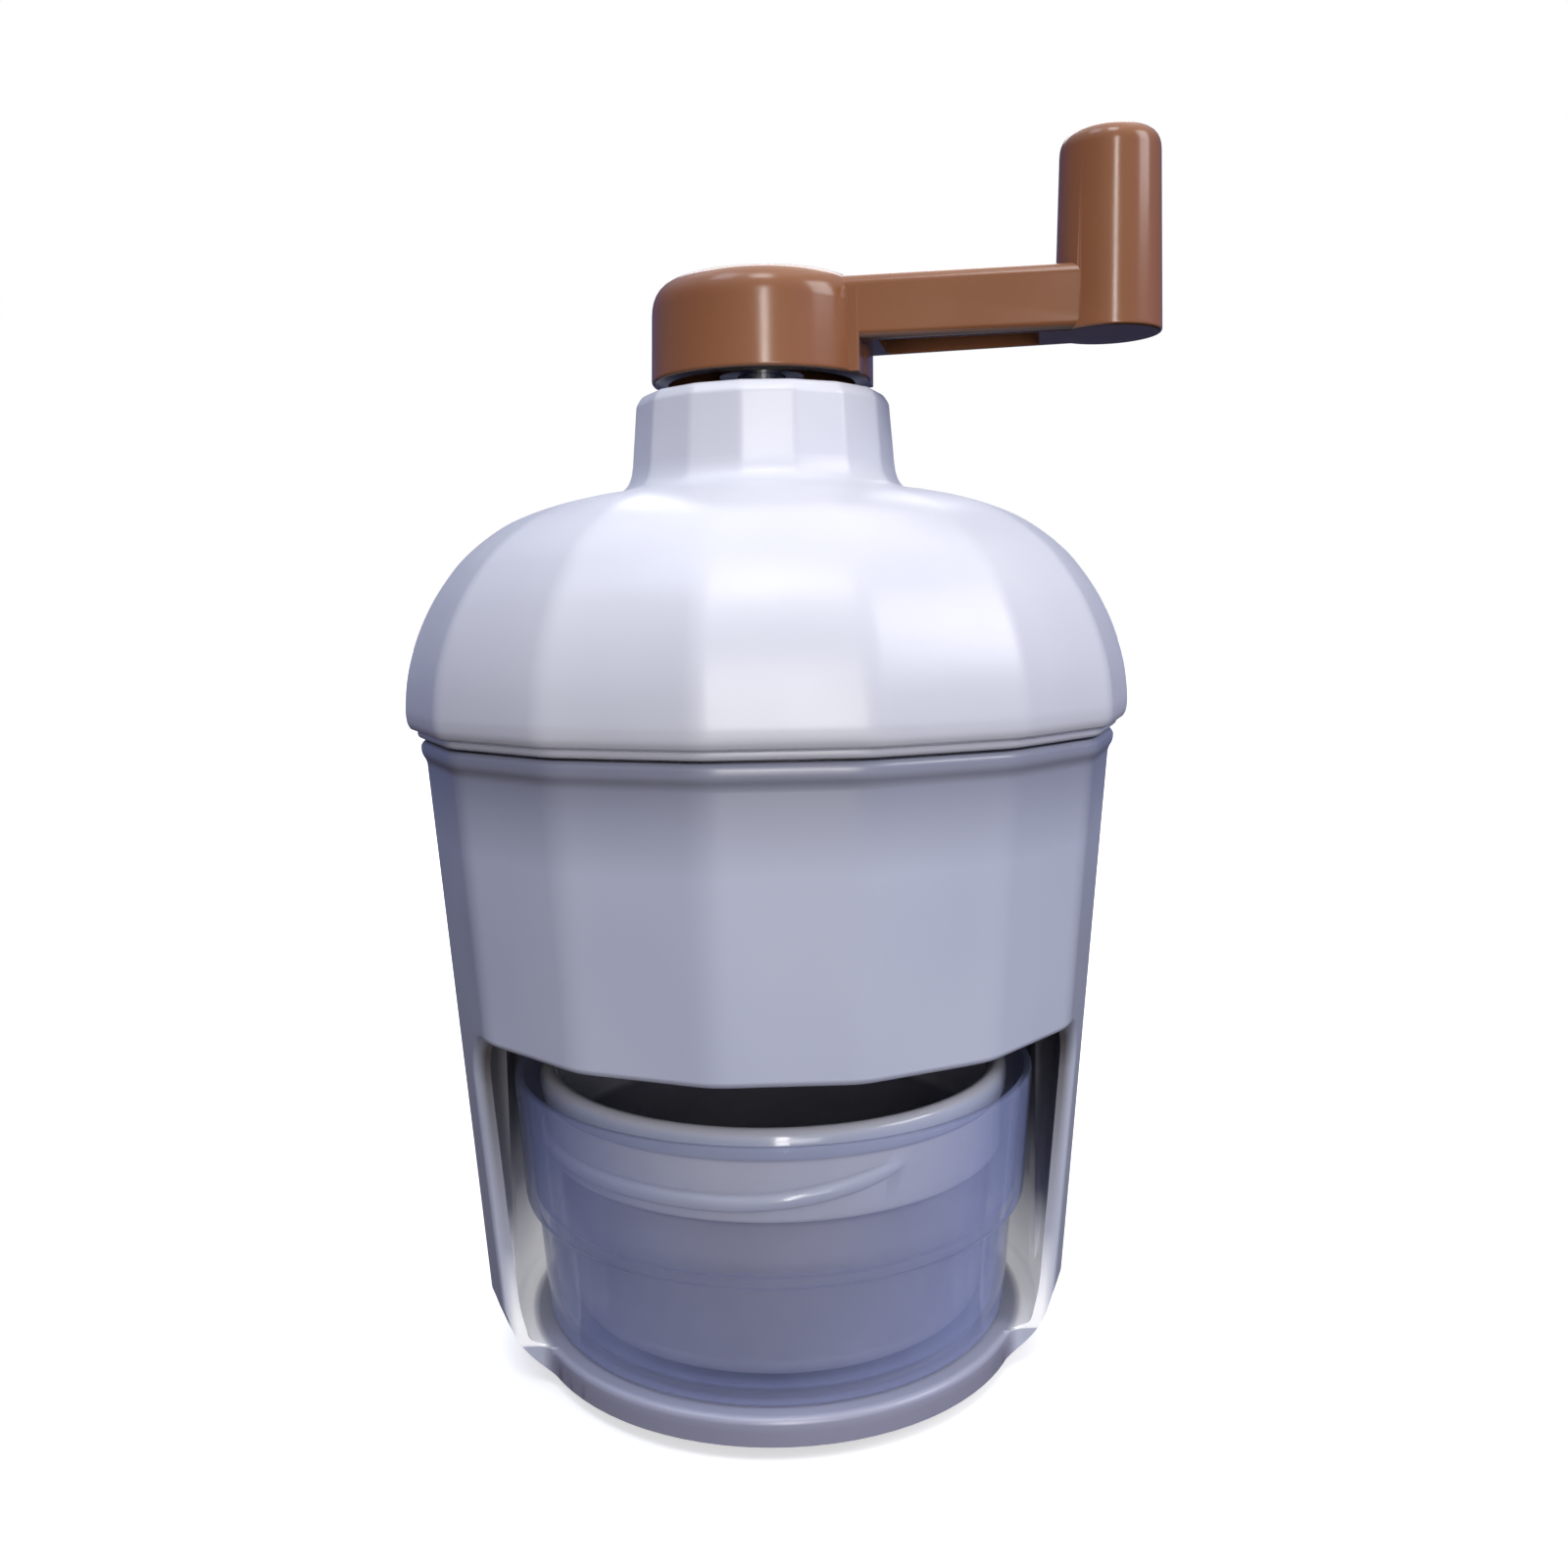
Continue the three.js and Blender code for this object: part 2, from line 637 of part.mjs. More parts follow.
// one raised screw ridge that leaves the bead, drops and then runs level round the neck band
function mouldRidge() {
  const rings = [];
  const steps = 30;
  const root = NECK_BAND.r - 0.7;
  for (let i = 0; i <= steps; i += 1) {
    const angle = RIDGE.from + ((RIDGE.to - RIDGE.from) * i) / steps;
    const fall = Math.min(1, (RIDGE.from - angle) / RIDGE.drop);
    const z = RIDGE.high + (RIDGE.low - RIDGE.high) * Math.sin((fall * Math.PI) / 2);
    const a = THREE.MathUtils.degToRad(angle);
    const section = [[root, z - RIDGE.half], [RIDGE.r, z - 0.3], [RIDGE.r, z + 0.3], [root, z + RIDGE.half]];
    rings.push(section.map(([r, h]) => [r * Math.sin(a), -r * Math.cos(a), h]));
  }
  return loft(rings);
}

// open pot: rounded foot, plain wall, wider neck band and a rolled bead at the mouth
function iceMould() {
  const [low, high] = MOULD_R;
  const w = MOULD_WALL;
  const pot = lathe([
    [0, MOULD_Z],
    [low - 4, MOULD_Z],
    [low - 1.2, MOULD_Z + 1.2],
    [low, MOULD_Z + 4],
    [high, NECK_BAND.z - 0.8],
    [NECK_BAND.r, NECK_BAND.z],
    [NECK_BAND.r, BEAD.z0],
    [BEAD.r - 0.3, BEAD.z0 + 0.6],
    [BEAD.r, BEAD.z0 + 2],
    [BEAD.r - 0.3, BEAD.z1 - 1.6],
    [BEAD.r - 1.1, BEAD.z1 - 0.4],
    [BEAD.r - 2, BEAD.z1],
    [BEAD.r - 3, BEAD.z1 - 0.6],
    [BEAD.r - 3.5, BEAD.z1 - 2],
    [high - w + 0.9, NECK_BAND.z],
    [low - w, MOULD_Z + 5],
    [low - w - 1.2, MOULD_Z + 2.8],
    [low - w - 3.6, MOULD_Z + w],
    [0, MOULD_Z + w],
  ], ROUND_LARGE);
  return pot.add(mouldRidge());
}

// ---- assembly -----------------------------------------------------------
const model = new THREE.Group();
model.name = 'ice_shaver';
const pieces = [
  ['body_shell', bodyShell(), 'white'],
  ['base_pad', basePad(), 'rubber'],
  ['ice_chamber', iceChamber(), 'white'],
  ['chamber_screw_1', chamberScrew(0), 'steel'],
  ['chamber_screw_2', chamberScrew(1), 'steel'],
  ['chamber_screw_3', chamberScrew(2), 'steel'],
  ['blade', blade(), 'steel'],
  ['blade_clamp', bladeClamp(), 'steel'],
  ['blade_screw_1', bladeScrew(0), 'steel'],
  ['blade_screw_2', bladeScrew(1), 'steel'],
  ['lid_seal', lidSeal(), 'seal'],
  ['lid_dome', lidDome(), 'white'],
  ['neck_bush', neckBush(), 'bush'],
  ['pressure_spring', pressureSpring(), 'spring'],
  ['thrust_washer', thrustWasher(), 'steel'],
  ['drive_shaft', driveShaft(), 'steel'],
  ['crank_handle', crankHandle(), 'brown'],
  ['hub_pin', hubPin(), 'steel'],
  ['presser_plate', presserPlate(), 'white'],
  ['toothed_plate', toothedPlate(), 'steel'],
  ['presser_nut', presserNut(), 'steel'],
  ['receiver_cup', receiverCup(), 'clear'],
  ['ice_mould', iceMould(), 'milky'],
];
for (const [name, solid, finish] of pieces) {
  model.add(part(name, solid, finish));
}

export default model;
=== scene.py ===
import math

import bmesh
import bpy
from mathutils import Matrix, Vector


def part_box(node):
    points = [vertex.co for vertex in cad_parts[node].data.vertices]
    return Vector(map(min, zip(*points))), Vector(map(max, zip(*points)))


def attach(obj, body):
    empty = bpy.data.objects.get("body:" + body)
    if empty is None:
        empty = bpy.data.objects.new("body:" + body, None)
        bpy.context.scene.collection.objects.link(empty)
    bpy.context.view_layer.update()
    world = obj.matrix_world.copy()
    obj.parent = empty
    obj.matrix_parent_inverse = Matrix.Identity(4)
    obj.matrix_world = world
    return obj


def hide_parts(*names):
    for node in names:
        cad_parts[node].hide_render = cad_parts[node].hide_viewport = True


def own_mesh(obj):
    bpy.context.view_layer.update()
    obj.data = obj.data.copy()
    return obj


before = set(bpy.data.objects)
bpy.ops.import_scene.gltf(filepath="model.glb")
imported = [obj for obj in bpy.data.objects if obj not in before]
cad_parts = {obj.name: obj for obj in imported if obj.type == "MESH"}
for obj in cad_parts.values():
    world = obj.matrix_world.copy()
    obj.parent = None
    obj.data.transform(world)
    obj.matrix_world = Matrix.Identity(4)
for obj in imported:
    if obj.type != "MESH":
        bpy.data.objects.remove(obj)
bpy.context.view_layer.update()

# Lengths in the profiles below are millimetres in the CAD frame; MM turns them into metres.
MM = 0.001
FACETS = 16
# Share of half a facet's width that its rounded corner takes.
LID_EDGE = 0.16
BODY_EDGE = 0.24
# Columns of the cup and the mould.
ROUND = 128
# Anything this far out is well clear of the body.
FAR = 80

# ---- mesh helpers -------------------------------------------------------


def rounded(points, steps=4, closed=False):
    """Corners of a polyline turned into small arcs. A point is (r, z, corner radius, facet weight)."""
    out = []
    n = len(points)
    for i, (r, z, radius, weight) in enumerate(points):
        if radius <= 0 or (not closed and i in (0, n - 1)):
            out.append((r, z, weight))
            continue
        before = points[i - 1]
        after = points[(i + 1) % n]
        corner = Vector((r, z))
        to_before = Vector(before[:2]) - corner
        to_after = Vector(after[:2]) - corner
        reach = min(radius, to_before.length * 0.49, to_after.length * 0.49)
        first = corner + to_before.normalized() * reach
        last = corner + to_after.normalized() * reach
        for k in range(steps + 1):
            t = k / steps
            p = first * (1 - t) ** 2 + corner * (2 * t * (1 - t)) + last * t * t
            out.append((p.x, p.y, weight))
    return out


def smooth_run(points, per_span):
    """A smooth curve through (r, z) points, with per_span steps from each to the next."""
    pts = [Vector(p) for p in points]
    pts = [pts[0] * 2 - pts[1]] + pts + [pts[-1] * 2 - pts[-2]]
    out = []
    for i in range(1, len(pts) - 2):
        p0, p1, p2, p3 = pts[i - 1], pts[i], pts[i + 1], pts[i + 2]
        for k in range(per_span):
            t = k / per_span
            p = 0.5 * (2 * p1 + (p2 - p0) * t + (2 * p0 - 5 * p1 + 4 * p2 - p3) * t ** 2
                       + (3 * p1 - p0 - 3 * p2 + p3) * t ** 3)
            out.append((p.x, p.y))
    out.append((pts[-2].x, pts[-2].y))
    return out


def facet_columns(edge):
    """Pairs of directions, on a 16-sided outline with rounded corners and on a circle."""
    half = math.sin(math.pi / FACETS)
    apothem = math.cos(math.pi / FACETS)
    columns = []
    for k in range(FACETS):
        turn = -math.pi / 2 + k * 2 * math.pi / FACETS
        normal = Vector((math.cos(turn), math.sin(turn)))
        along = Vector((-normal.y, normal.x))
        after = turn + 2 * math.pi / FACETS
        next_normal = Vector((math.cos(after), math.sin(after)))
        next_along = Vector((-next_normal.y, next_normal.x))
        flat = 1 - edge
        for u in (-flat, -flat * 0.5, 0.0, flat * 0.5, flat):
            columns.append(normal * apothem + along * (half * u))
        first = normal * apothem + along * (half * flat)
        corner = normal * apothem + along * half
        last = next_normal * apothem - next_along * (half * flat)
        for t in (0.25, 0.5, 0.75):
            columns.append(first * (1 - t) ** 2 + corner * (2 * t * (1 - t)) + last * t * t)
    return [(c, c.normalized()) for c in columns]


def round_columns(count):
    """The same pairs for a plain circle."""
    columns = []
    for k in range(count):
        turn = 2 * math.pi * k / count
        direction = Vector((math.cos(turn), math.sin(turn)))
        columns.append((direction, direction))
    return columns


def to_object(name, bm):
    mesh = bpy.data.meshes.new(name)
    bmesh.ops.recalc_face_normals(bm, faces=bm.faces)
    bm.to_mesh(mesh)
    bm.free()
    obj = bpy.data.objects.new(name, mesh)
    bpy.context.scene.collection.objects.link(obj)
    return obj


def revolve(name, rows, columns, closed=True):
    """Skin turned about the vertical axis. Rows with weight 1 follow the facets, weight 0 the circle."""
    bm = bmesh.new()
    rings = []
    for r, z, weight in rows:
        ring = []
        for facet, circle in columns:
            d = facet * weight + circle * (1 - weight)
            ring.append(bm.verts.new((d.x * r * MM, d.y * r * MM, z * MM)))
        rings.append(ring)
    count = len(columns)
    spans = len(rings) if closed else len(rings) - 1
    for i in range(spans):
        a, b = rings[i], rings[(i + 1) % len(rings)]
        for j in range(count):
            k = (j + 1) % count
            bm.faces.new((a[j], a[k], b[k], b[j]))
    bmesh.ops.remove_doubles(bm, verts=bm.verts, dist=1e-7)
    bmesh.ops.dissolve_degenerate(bm, edges=bm.edges, dist=1e-7)
    return to_object(name, bm)


def sweep_outline(name, outline, place_low, place_high):
    """Prism between two placed copies of an outline."""
    bm = bmesh.new()
    low = [bm.verts.new(place_low(p)) for p in outline]
    high = [bm.verts.new(place_high(p)) for p in outline]
    n = len(outline)
    bm.faces.new(low[::-1])
    bm.faces.new(high)
    for i in range(n):
        k = (i + 1) % n
        bm.faces.new((low[i], low[k], high[k], high[i]))
    return to_object(name, bm)


def lathe(name, rows, columns, steps=4):
    """Plain round solid from a profile that starts and ends on the axis."""
    return revolve(name, rounded(rows, steps), round_columns(columns), closed=False)


def at_height(z):
    """Places an (x, y) outline at a height, for sweep_outline."""
    return lambda p: (p[0] * MM, p[1] * MM, z * MM)


def arc_points(cx, cy, radius, start, end, steps):
    out = []
    for i in range(steps + 1):
        a = math.radians(start + (end - start) * i / steps)
        out.append((cx + radius * math.cos(a), cy + radius * math.sin(a)))
    return out


def bake(obj):
    """Modifiers written into the mesh."""
    graph = bpy.context.evaluated_depsgraph_get()
    mesh = bpy.data.meshes.new_from_object(obj.evaluated_get(graph))
    obj.modifiers.clear()
    obj.data = mesh


def combine(target, tool, operation):
    """Boolean of two meshes; the tool is used up."""
    mod = target.modifiers.new("combine", "BOOLEAN")
    mod.operation = operation
    mod.solver = "EXACT"
    mod.object = tool
    bake(target)
    bpy.data.objects.remove(tool)
    return target


def soften_cuts(obj, width, steep, segments=3, keep=None, clamp=True):
    """Edges steeper than steep degrees rounded over, as a moulded part's are. keep picks by their middle."""
    bm = bmesh.new()
    bm.from_mesh(obj.data)
    bmesh.ops.remove_doubles(bm, verts=bm.verts, dist=1e-6)
    bmesh.ops.dissolve_limit(bm, angle_limit=math.radians(0.6), verts=bm.verts, edges=bm.edges)
    chosen = []
    for e in bm.edges:
        if len(e.link_faces) != 2 or e.calc_face_angle(0) < math.radians(steep):
            continue
        if keep is None or keep((e.verts[0].co + e.verts[1].co) / 2):
            chosen.append(e)
    bmesh.ops.bevel(bm, geom=chosen, offset=width * MM, offset_type="OFFSET", segments=segments,
                    profile=0.5, affect="EDGES", clamp_overlap=clamp)
    bmesh.ops.remove_doubles(bm, verts=bm.verts, dist=1e-6)
    bm.to_mesh(obj.data)
    bm.free()


def shade(obj, angle, weighted):
    obj.data.polygons.foreach_set("use_smooth", [True] * len(obj.data.polygons))
    obj.data.set_sharp_from_angle(angle=math.radians(angle))
    if weighted:
        mod = obj.modifiers.new("weighted", "WEIGHTED_NORMAL")
        mod.keep_sharp = True
        mod.weight = 60
    obj.data.update()


def finish_piece(obj, body, material, nodes, angle, weighted=False):
    obj.data.materials.clear()
    obj.data.materials.append(material)
    shade(obj, angle, weighted)
    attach(obj, body)
    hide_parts(*nodes)


# ---- materials ----------------------------------------------------------


class Paint:
    """Node helpers round one Principled shader."""

    def __init__(self, name):
        self.material = bpy.data.materials.new(name)
        self.material.use_nodes = True
        self.tree = self.material.node_tree
        self.shader = self.tree.nodes["Principled BSDF"]
        coords = self.tree.nodes.new("ShaderNodeTexCoord")
        self.where = coords.outputs["Object"]

    def node(self, kind, **values):
        made = self.tree.nodes.new(kind)
        for key, value in values.items():
            setattr(made, key, value)
        return made

    def link(self, a, b):
        self.tree.links.new(a, b)

    def noise(self, scale, detail=4.0, roughness=0.55, stretch=None):
        made = self.node("ShaderNodeTexNoise")
        made.inputs["Scale"].default_value = scale
        made.inputs["Detail"].default_value = detail
        made.inputs["Roughness"].default_value = roughness
        source = self.where
        if stretch:
            mapping = self.node("ShaderNodeMapping")
            mapping.inputs["Scale"].default_value = stretch
            self.link(self.where, mapping.inputs["Vector"])
            source = mapping.outputs["Vector"]
        self.link(source, made.inputs["Vector"])
        return made.outputs["Fac"]

    def ramp(self, value, stops):
        made = self.node("ShaderNodeValToRGB")
        ramp = made.color_ramp
        while len(ramp.elements) < len(stops):
            ramp.elements.new(0.5)
        for element, (at, color) in zip(ramp.elements, stops):
            element.position = at
            element.color = (*color, 1)
        self.link(value, made.inputs["Fac"])
        return made.outputs["Color"]

    def spread(self, value, low, high, low_out, high_out):
        """value's range from low to high turned into low_out to high_out, clamped."""
        made = self.node("ShaderNodeMapRange")
        made.inputs["From Min"].default_value = low
        made.inputs["From Max"].default_value = high
        made.inputs["To Min"].default_value = low_out
        made.inputs["To Max"].default_value = high_out
        self.link(value, made.inputs["Value"])
        return made.outputs["Result"]

    def mix(self, factor, a, b, blend="MIX"):
        made = self.node("ShaderNodeMix", data_type="RGBA", blend_type=blend)
        for socket, value in ((made.inputs[0], factor), (made.inputs[6], a), (made.inputs[7], b)):
            if hasattr(value, "links"):
                self.link(value, socket)
            elif isinstance(value, (int, float)):
                socket.default_value = value
            else:
                socket.default_value = (*value, 1)
        return made.outputs[2]

    def math(self, operation, a, b):
        made = self.node("ShaderNodeMath", operation=operation)
        for socket, value in ((made.inputs[0], a), (made.inputs[1], b)):
            if hasattr(value, "links"):
                self.link(value, socket)
            else:
                socket.default_value = value
        return made.outputs["Value"]

    def bump(self, *layers):
        """Layers are (height, distance in metres, strength)."""
        normal = None
        for height, distance, strength in layers:
            made = self.node("ShaderNodeBump")
            made.inputs["Strength"].default_value = strength
            made.inputs["Distance"].default_value = distance
            self.link(height, made.inputs["Height"])
            if normal:
                self.link(normal, made.inputs["Normal"])
            normal = made.outputs["Normal"]
        self.link(normal, self.shader.inputs["Normal"])

    def painted_corner_shade(self, distance, most):
        """Painted shade: 0 in the open, up to most in a corner."""
        made = self.node("ShaderNodeAmbientOcclusion", samples=8)
        made.inputs["Distance"].default_value = distance
        return self.spread(made.outputs["AO"], 0.0, 0.72, most, 0.0)

    def place(self):
        """Distance from the vertical axis and height, both in metres."""
        parts = self.node("ShaderNodeSeparateXYZ")
        self.link(self.where, parts.inputs[0])
        x, y, z = parts.outputs
        squares = self.math("ADD", self.math("MULTIPLY", x, x), self.math("MULTIPLY", y, y))
        return self.math("SQRT", squares, 0.0), z

    def worn_edges(self):
        """1 on sharp outer edges."""
        geometry = self.node("ShaderNodeNewGeometry")
        return self.spread(geometry.outputs["Pointiness"], 0.62, 0.78, 0.0, 1.0)

    def set(self, **values):
        for key, value in values.items():
            self.shader.inputs[key.replace("_", " ")].default_value = value

    def color(self, value):
        self.link(value, self.shader.inputs["Base Color"])

    def rough(self, value):
        self.link(value, self.shader.inputs["Roughness"])


# A cone between the body wall's two faces: its radius at height 0 in metres, and its gain per metre up.
WALL_R = 0.0511
WALL_LEAN = 0.0726


def inner_wall(p):
    """Radius and height of a place on the body, and 1 on the wall's inner face, 0 on its outer face."""
    radius, height = p.place()
    wall = p.math("ADD", p.math("MULTIPLY", height, WALL_LEAN), WALL_R)
    return radius, height, p.spread(p.math("SUBTRACT", wall, radius), -0.0012, 0.0004, 0.0, 1.0)


def wall_inside_shade(p):
    """Painted shade: 1 on the body's inner wall above the bay's floor, 0 outside, as little light gets in
    there.
    """
    _, height, inside = inner_wall(p)
    return p.math("MULTIPLY", inside, p.spread(height, 0.018, 0.062, 0.0, 1.0))


def under_bead(p):
    """Grows upwards to the rim's bead, where the lid and the bead shade the wall."""
    return p.spread(p.place()[1], 0.0990, 0.1134, 0.0, 0.55)


def bay_foot_light(p):
    """Painted light: 1 low on the bay's inner wall and at its floor's rim, painted white and made to glow for
    light that passes through the plastic.
    """
    radius, height, inside = inner_wall(p)
    low = p.math("MULTIPLY", p.spread(height, 0.0072, 0.0076, 0.0, 1.0),
                 p.spread(height, 0.012, 0.026, 1.0, 0.0))
    rim = p.spread(radius, 0.0455, 0.0470, 0.0, 1.0)
    return p.math("MULTIPLY", p.math("MULTIPLY", inside, low), rim)


def foot_edge_shade(p):
    """Painted shade on the floor's open front edge, which leans under."""
    radius, height = p.place()
    return p.math("MULTIPLY", p.spread(radius, 0.0463, 0.0475, 1.0, 0.0),
                  p.spread(height, 0.0050, 0.0080, 0.75, 0.45))


def facing_down_shade(p):
    """Painted shade, up to 0.9 where the surface looks at the floor."""
    parts = p.node("ShaderNodeSeparateXYZ")
    geometry = p.node("ShaderNodeNewGeometry")
    p.link(geometry.outputs["Normal"], parts.inputs[0])
    return p.spread(parts.outputs[2], -0.85, -0.25, 0.9, 0.0)


def underside_shade(p):
    """Painted shade: 1 under the chamber's floor, fading up its wall."""
    return p.spread(p.place()[1], 0.0705, 0.080, 1.0, 0.25)


# Emission at the foot of the bay, standing for light that passes through the white plastic.
GLOW = 0.22


def moulded(name, tones, gloss, grain=900, hollow_shade=0.55, edge=0.12, painted_light_and_shade=(), glow=None, **extra):
    """Moulded plastic: cloudy tone, slight flow waves, fine texture, paler rubbed edges, painted shade in
    hollows.

    The tones are dark cloud, pale cloud, flow streak, rubbed edge and, unless hollow shade is 0, painted
    hollow shade.
    gloss is the range of roughness, painted light and shade come as (mask, tone) pairs, glow masks a painted
    glow.
    """
    p = Paint(name)
    cloud = p.noise(38, 1.5, 0.4)
    tone = p.ramp(cloud, [(0.25, tones[0]), (0.75, tones[1])])
    flow = p.noise(60, 1, 0.4, stretch=(1, 1, 0.12))
    tone = p.mix(p.spread(flow, 0.35, 0.75, 0.0, 0.22), tone, tones[2])
    rub = p.math("MULTIPLY", p.worn_edges(), p.spread(p.noise(60, 2, 0.4), 0.3, 0.7, edge * 0.5, edge))
    tone = p.mix(rub, tone, tones[3])
    # Painted shade in hollows.
    if hollow_shade:
        tone = p.mix(p.painted_corner_shade(0.012, hollow_shade), tone, tones[4])
    # Painted shade and painted light, one mask at a time.
    for mask, shade_tone in painted_light_and_shade:
        tone = p.mix(mask(p), tone, shade_tone)
    # Painted glow: emission where the glow mask is.
    if glow:
        p.shader.inputs["Emission Color"].default_value = (1, 1, 1, 1)
        p.link(p.math("MULTIPLY", glow(p), GLOW), p.shader.inputs["Emission Strength"])
    p.color(tone)
    scuff = p.noise(700, 6, 0.7, stretch=(1, 1, 0.35))
    p.rough(p.math("ADD", p.spread(p.noise(55, 4), 0.3, 0.7, gloss[0], gloss[1]),
                   p.spread(scuff, 0.55, 0.85, 0.0, 0.05)))
    p.bump((p.noise(90, 2, 0.4), 0.0003, 0.06), (p.noise(grain, 3, 0.6), 0.00001, 0.2))
    p.set(**extra)
    return p.material


def clear_plastic():
    """Clear moulding shown as a thin film: nearly invisible face on, denser where it turns away."""
    p = Paint("clear_ps")
    haze = p.noise(60, 4)
    p.color(p.ramp(haze, [(0.2, (0.34, 0.40, 0.72)), (0.8, (0.44, 0.50, 0.78))]))
    flow = p.noise(90, 3, 0.5, stretch=(1, 1, 0.2))
    p.rough(p.math("ADD", p.spread(haze, 0.3, 0.7, 0.05, 0.10), p.spread(flow, 0.5, 0.8, 0.0, 0.05)))
    p.bump((p.noise(60, 2, 0.4), 0.0002, 0.015))
    turned = p.node("ShaderNodeLayerWeight")
    turned.inputs["Blend"].default_value = 0.35
    body = p.spread(turned.outputs["Facing"], 0.1, 0.95, 0.06, 0.74)
    p.link(p.math("ADD", body, p.spread(haze, 0.3, 0.7, 0.0, 0.05)), p.shader.inputs["Alpha"])
    p.set(IOR=1.55)
    return p.material


def milky_plastic():
    """Cloudy pot with a paler neck band above its shoulder, a bright bead, and a painted highlight along its
    ridge.
    """
    p = Paint("milky_pp")
    haze = p.noise(45, 4)
    tone = p.ramp(haze, [(0.25, (0.33, 0.33, 0.40)), (0.75, (0.40, 0.40, 0.47))])
    radius, height = p.place()
    tone = p.mix(p.spread(height, 0.0385, 0.0400, 0.0, 0.85), tone, (0.70, 0.71, 0.76))
    # Painted highlight on the raised ridge; the bead gets a darker bluish tone.
    raised = p.spread(radius, 0.0433, 0.0441, 0.0, 1.0)
    ridge_highlight_bead_tone = p.ramp(p.spread(height, 0.0490, 0.0500, 0.0, 1.0),
                   [(0.0, (0.90, 0.94, 1.0)), (1.0, (0.48, 0.54, 0.70))])
    tone = p.mix(p.math("MULTIPLY", raised, 0.8), tone, ridge_highlight_bead_tone)
    # Painted shade in corners.
    tone = p.mix(p.painted_corner_shade(0.004, 0.6), tone, (0.16, 0.17, 0.26))
    p.color(tone)
    p.rough(p.spread(p.noise(220, 4), 0.3, 0.7, 0.16, 0.26))
    p.bump((p.noise(80, 3, 0.5), 0.0004, 0.10))
    p.set(IOR=1.48, Subsurface_Weight=0.15, Subsurface_Scale=0.002, Coat_Weight=0.6, Coat_Roughness=0.05)
    p.shader.inputs["Subsurface Radius"].default_value = (0.8, 0.9, 1.0)
    return p.material


def metal(name, color, rough, stretch):
    """Brushed metal; stretch below 1 on an axis draws the brushing out along it."""
    p = Paint(name)
    brushed = p.noise(900, 5, 0.65, stretch=stretch)
    dark = tuple(c * 0.72 for c in color)
    p.color(p.ramp(brushed, [(0.3, dark), (0.7, color)]))
    p.rough(p.math("ADD", p.spread(brushed, 0.3, 0.7, rough - 0.06, rough + 0.08),
                   p.spread(p.noise(120, 4), 0.55, 0.7, 0.0, 0.12)))
    p.bump((brushed, 0.00003, 0.3))
    p.set(Metallic=1.0)
    return p.material


def rubber(name, tone, pale, rough):
    p = Paint(name)
    speck = p.noise(1500, 4, 0.7)
    speckled = p.ramp(speck, [(0.3, tone), (0.7, pale)])
    # Painted shade in corners.
    p.color(p.mix(p.painted_corner_shade(0.01, 0.35), speckled, (0.02, 0.02, 0.02)))
    p.rough(p.spread(p.noise(240, 4), 0.3, 0.7, rough - 0.1, rough + 0.1))
    p.bump((speck, 0.00004, 0.5))
    return p.material


WHITE = moulded("white_abs",
                [(0.62, 0.63, 0.69), (0.68, 0.69, 0.74), (0.72, 0.725, 0.77), (0.82, 0.82, 0.86)],
                (0.30, 0.40), hollow_shade=0, Coat_Weight=0.4, Coat_Roughness=0.3)
# The shell paints shade under the bead, on the inner wall and on the floor's front edge, and paints light and
# a weak glow low in the bay.
SHELL_WHITE = moulded("white_abs_shell",
                      [(0.50, 0.53, 0.645), (0.55, 0.58, 0.69), (0.59, 0.62, 0.72), (0.74, 0.77, 0.84)],
                      (0.29, 0.38), hollow_shade=0,
                      painted_light_and_shade=[(under_bead, (0.10, 0.10, 0.15)), (wall_inside_shade, (0.11, 0.10, 0.098)),
                              (bay_foot_light, (1.0, 1.0, 1.0)), (foot_edge_shade, (0.20, 0.19, 0.27))], glow=bay_foot_light,
                      Coat_Weight=0.5, Coat_Roughness=0.24)
# Painted shade in hollows and under the chamber's floor.
INNER_WHITE = moulded("white_abs_inside",
                      [(0.56, 0.58, 0.66), (0.62, 0.64, 0.71), (0.66, 0.67, 0.74), (0.74, 0.75, 0.80),
                       (0.08, 0.07, 0.07)], (0.36, 0.48), hollow_shade=0.5,
                      painted_light_and_shade=[(underside_shade, (0.34, 0.32, 0.32))])
# Painted shade in hollows and on faces that look down.
BROWN = moulded("brown_abs",
                [(0.260, 0.102, 0.042), (0.290, 0.118, 0.051), (0.315, 0.134, 0.061), (0.44, 0.25, 0.16),
                 (0.03, 0.016, 0.012)], (0.165, 0.215), grain=1100, hollow_shade=0.85, edge=0.3,
                painted_light_and_shade=[(facing_down_shade, (0.022, 0.012, 0.009))])
CLEAR = clear_plastic()
MILKY = milky_plastic()
# Painted shade in hollows, at the default amount.
BUSH = moulded("grey_pom",
               [(0.40, 0.41, 0.43), (0.46, 0.47, 0.49), (0.5, 0.51, 0.53), (0.6, 0.6, 0.62),
                (0.05, 0.05, 0.05)], (0.4, 0.5))
STEEL = metal("brushed_steel", (0.62, 0.63, 0.66), 0.35, (1, 1, 0.15))
BLADE_STEEL = metal("ground_steel", (0.70, 0.71, 0.74), 0.35, (1, 0.1, 1))
WIRE = metal("spring_wire", (0.52, 0.53, 0.56), 0.37, (1, 1, 1))
PAD_RUBBER = rubber("grey_rubber", (0.055, 0.056, 0.062), (0.09, 0.09, 0.098), 0.8)
SEAL_RUBBER = rubber("white_silicone", (0.58, 0.58, 0.62), (0.68, 0.68, 0.72), 0.6)

# ---- body ---------------------------------------------------------------

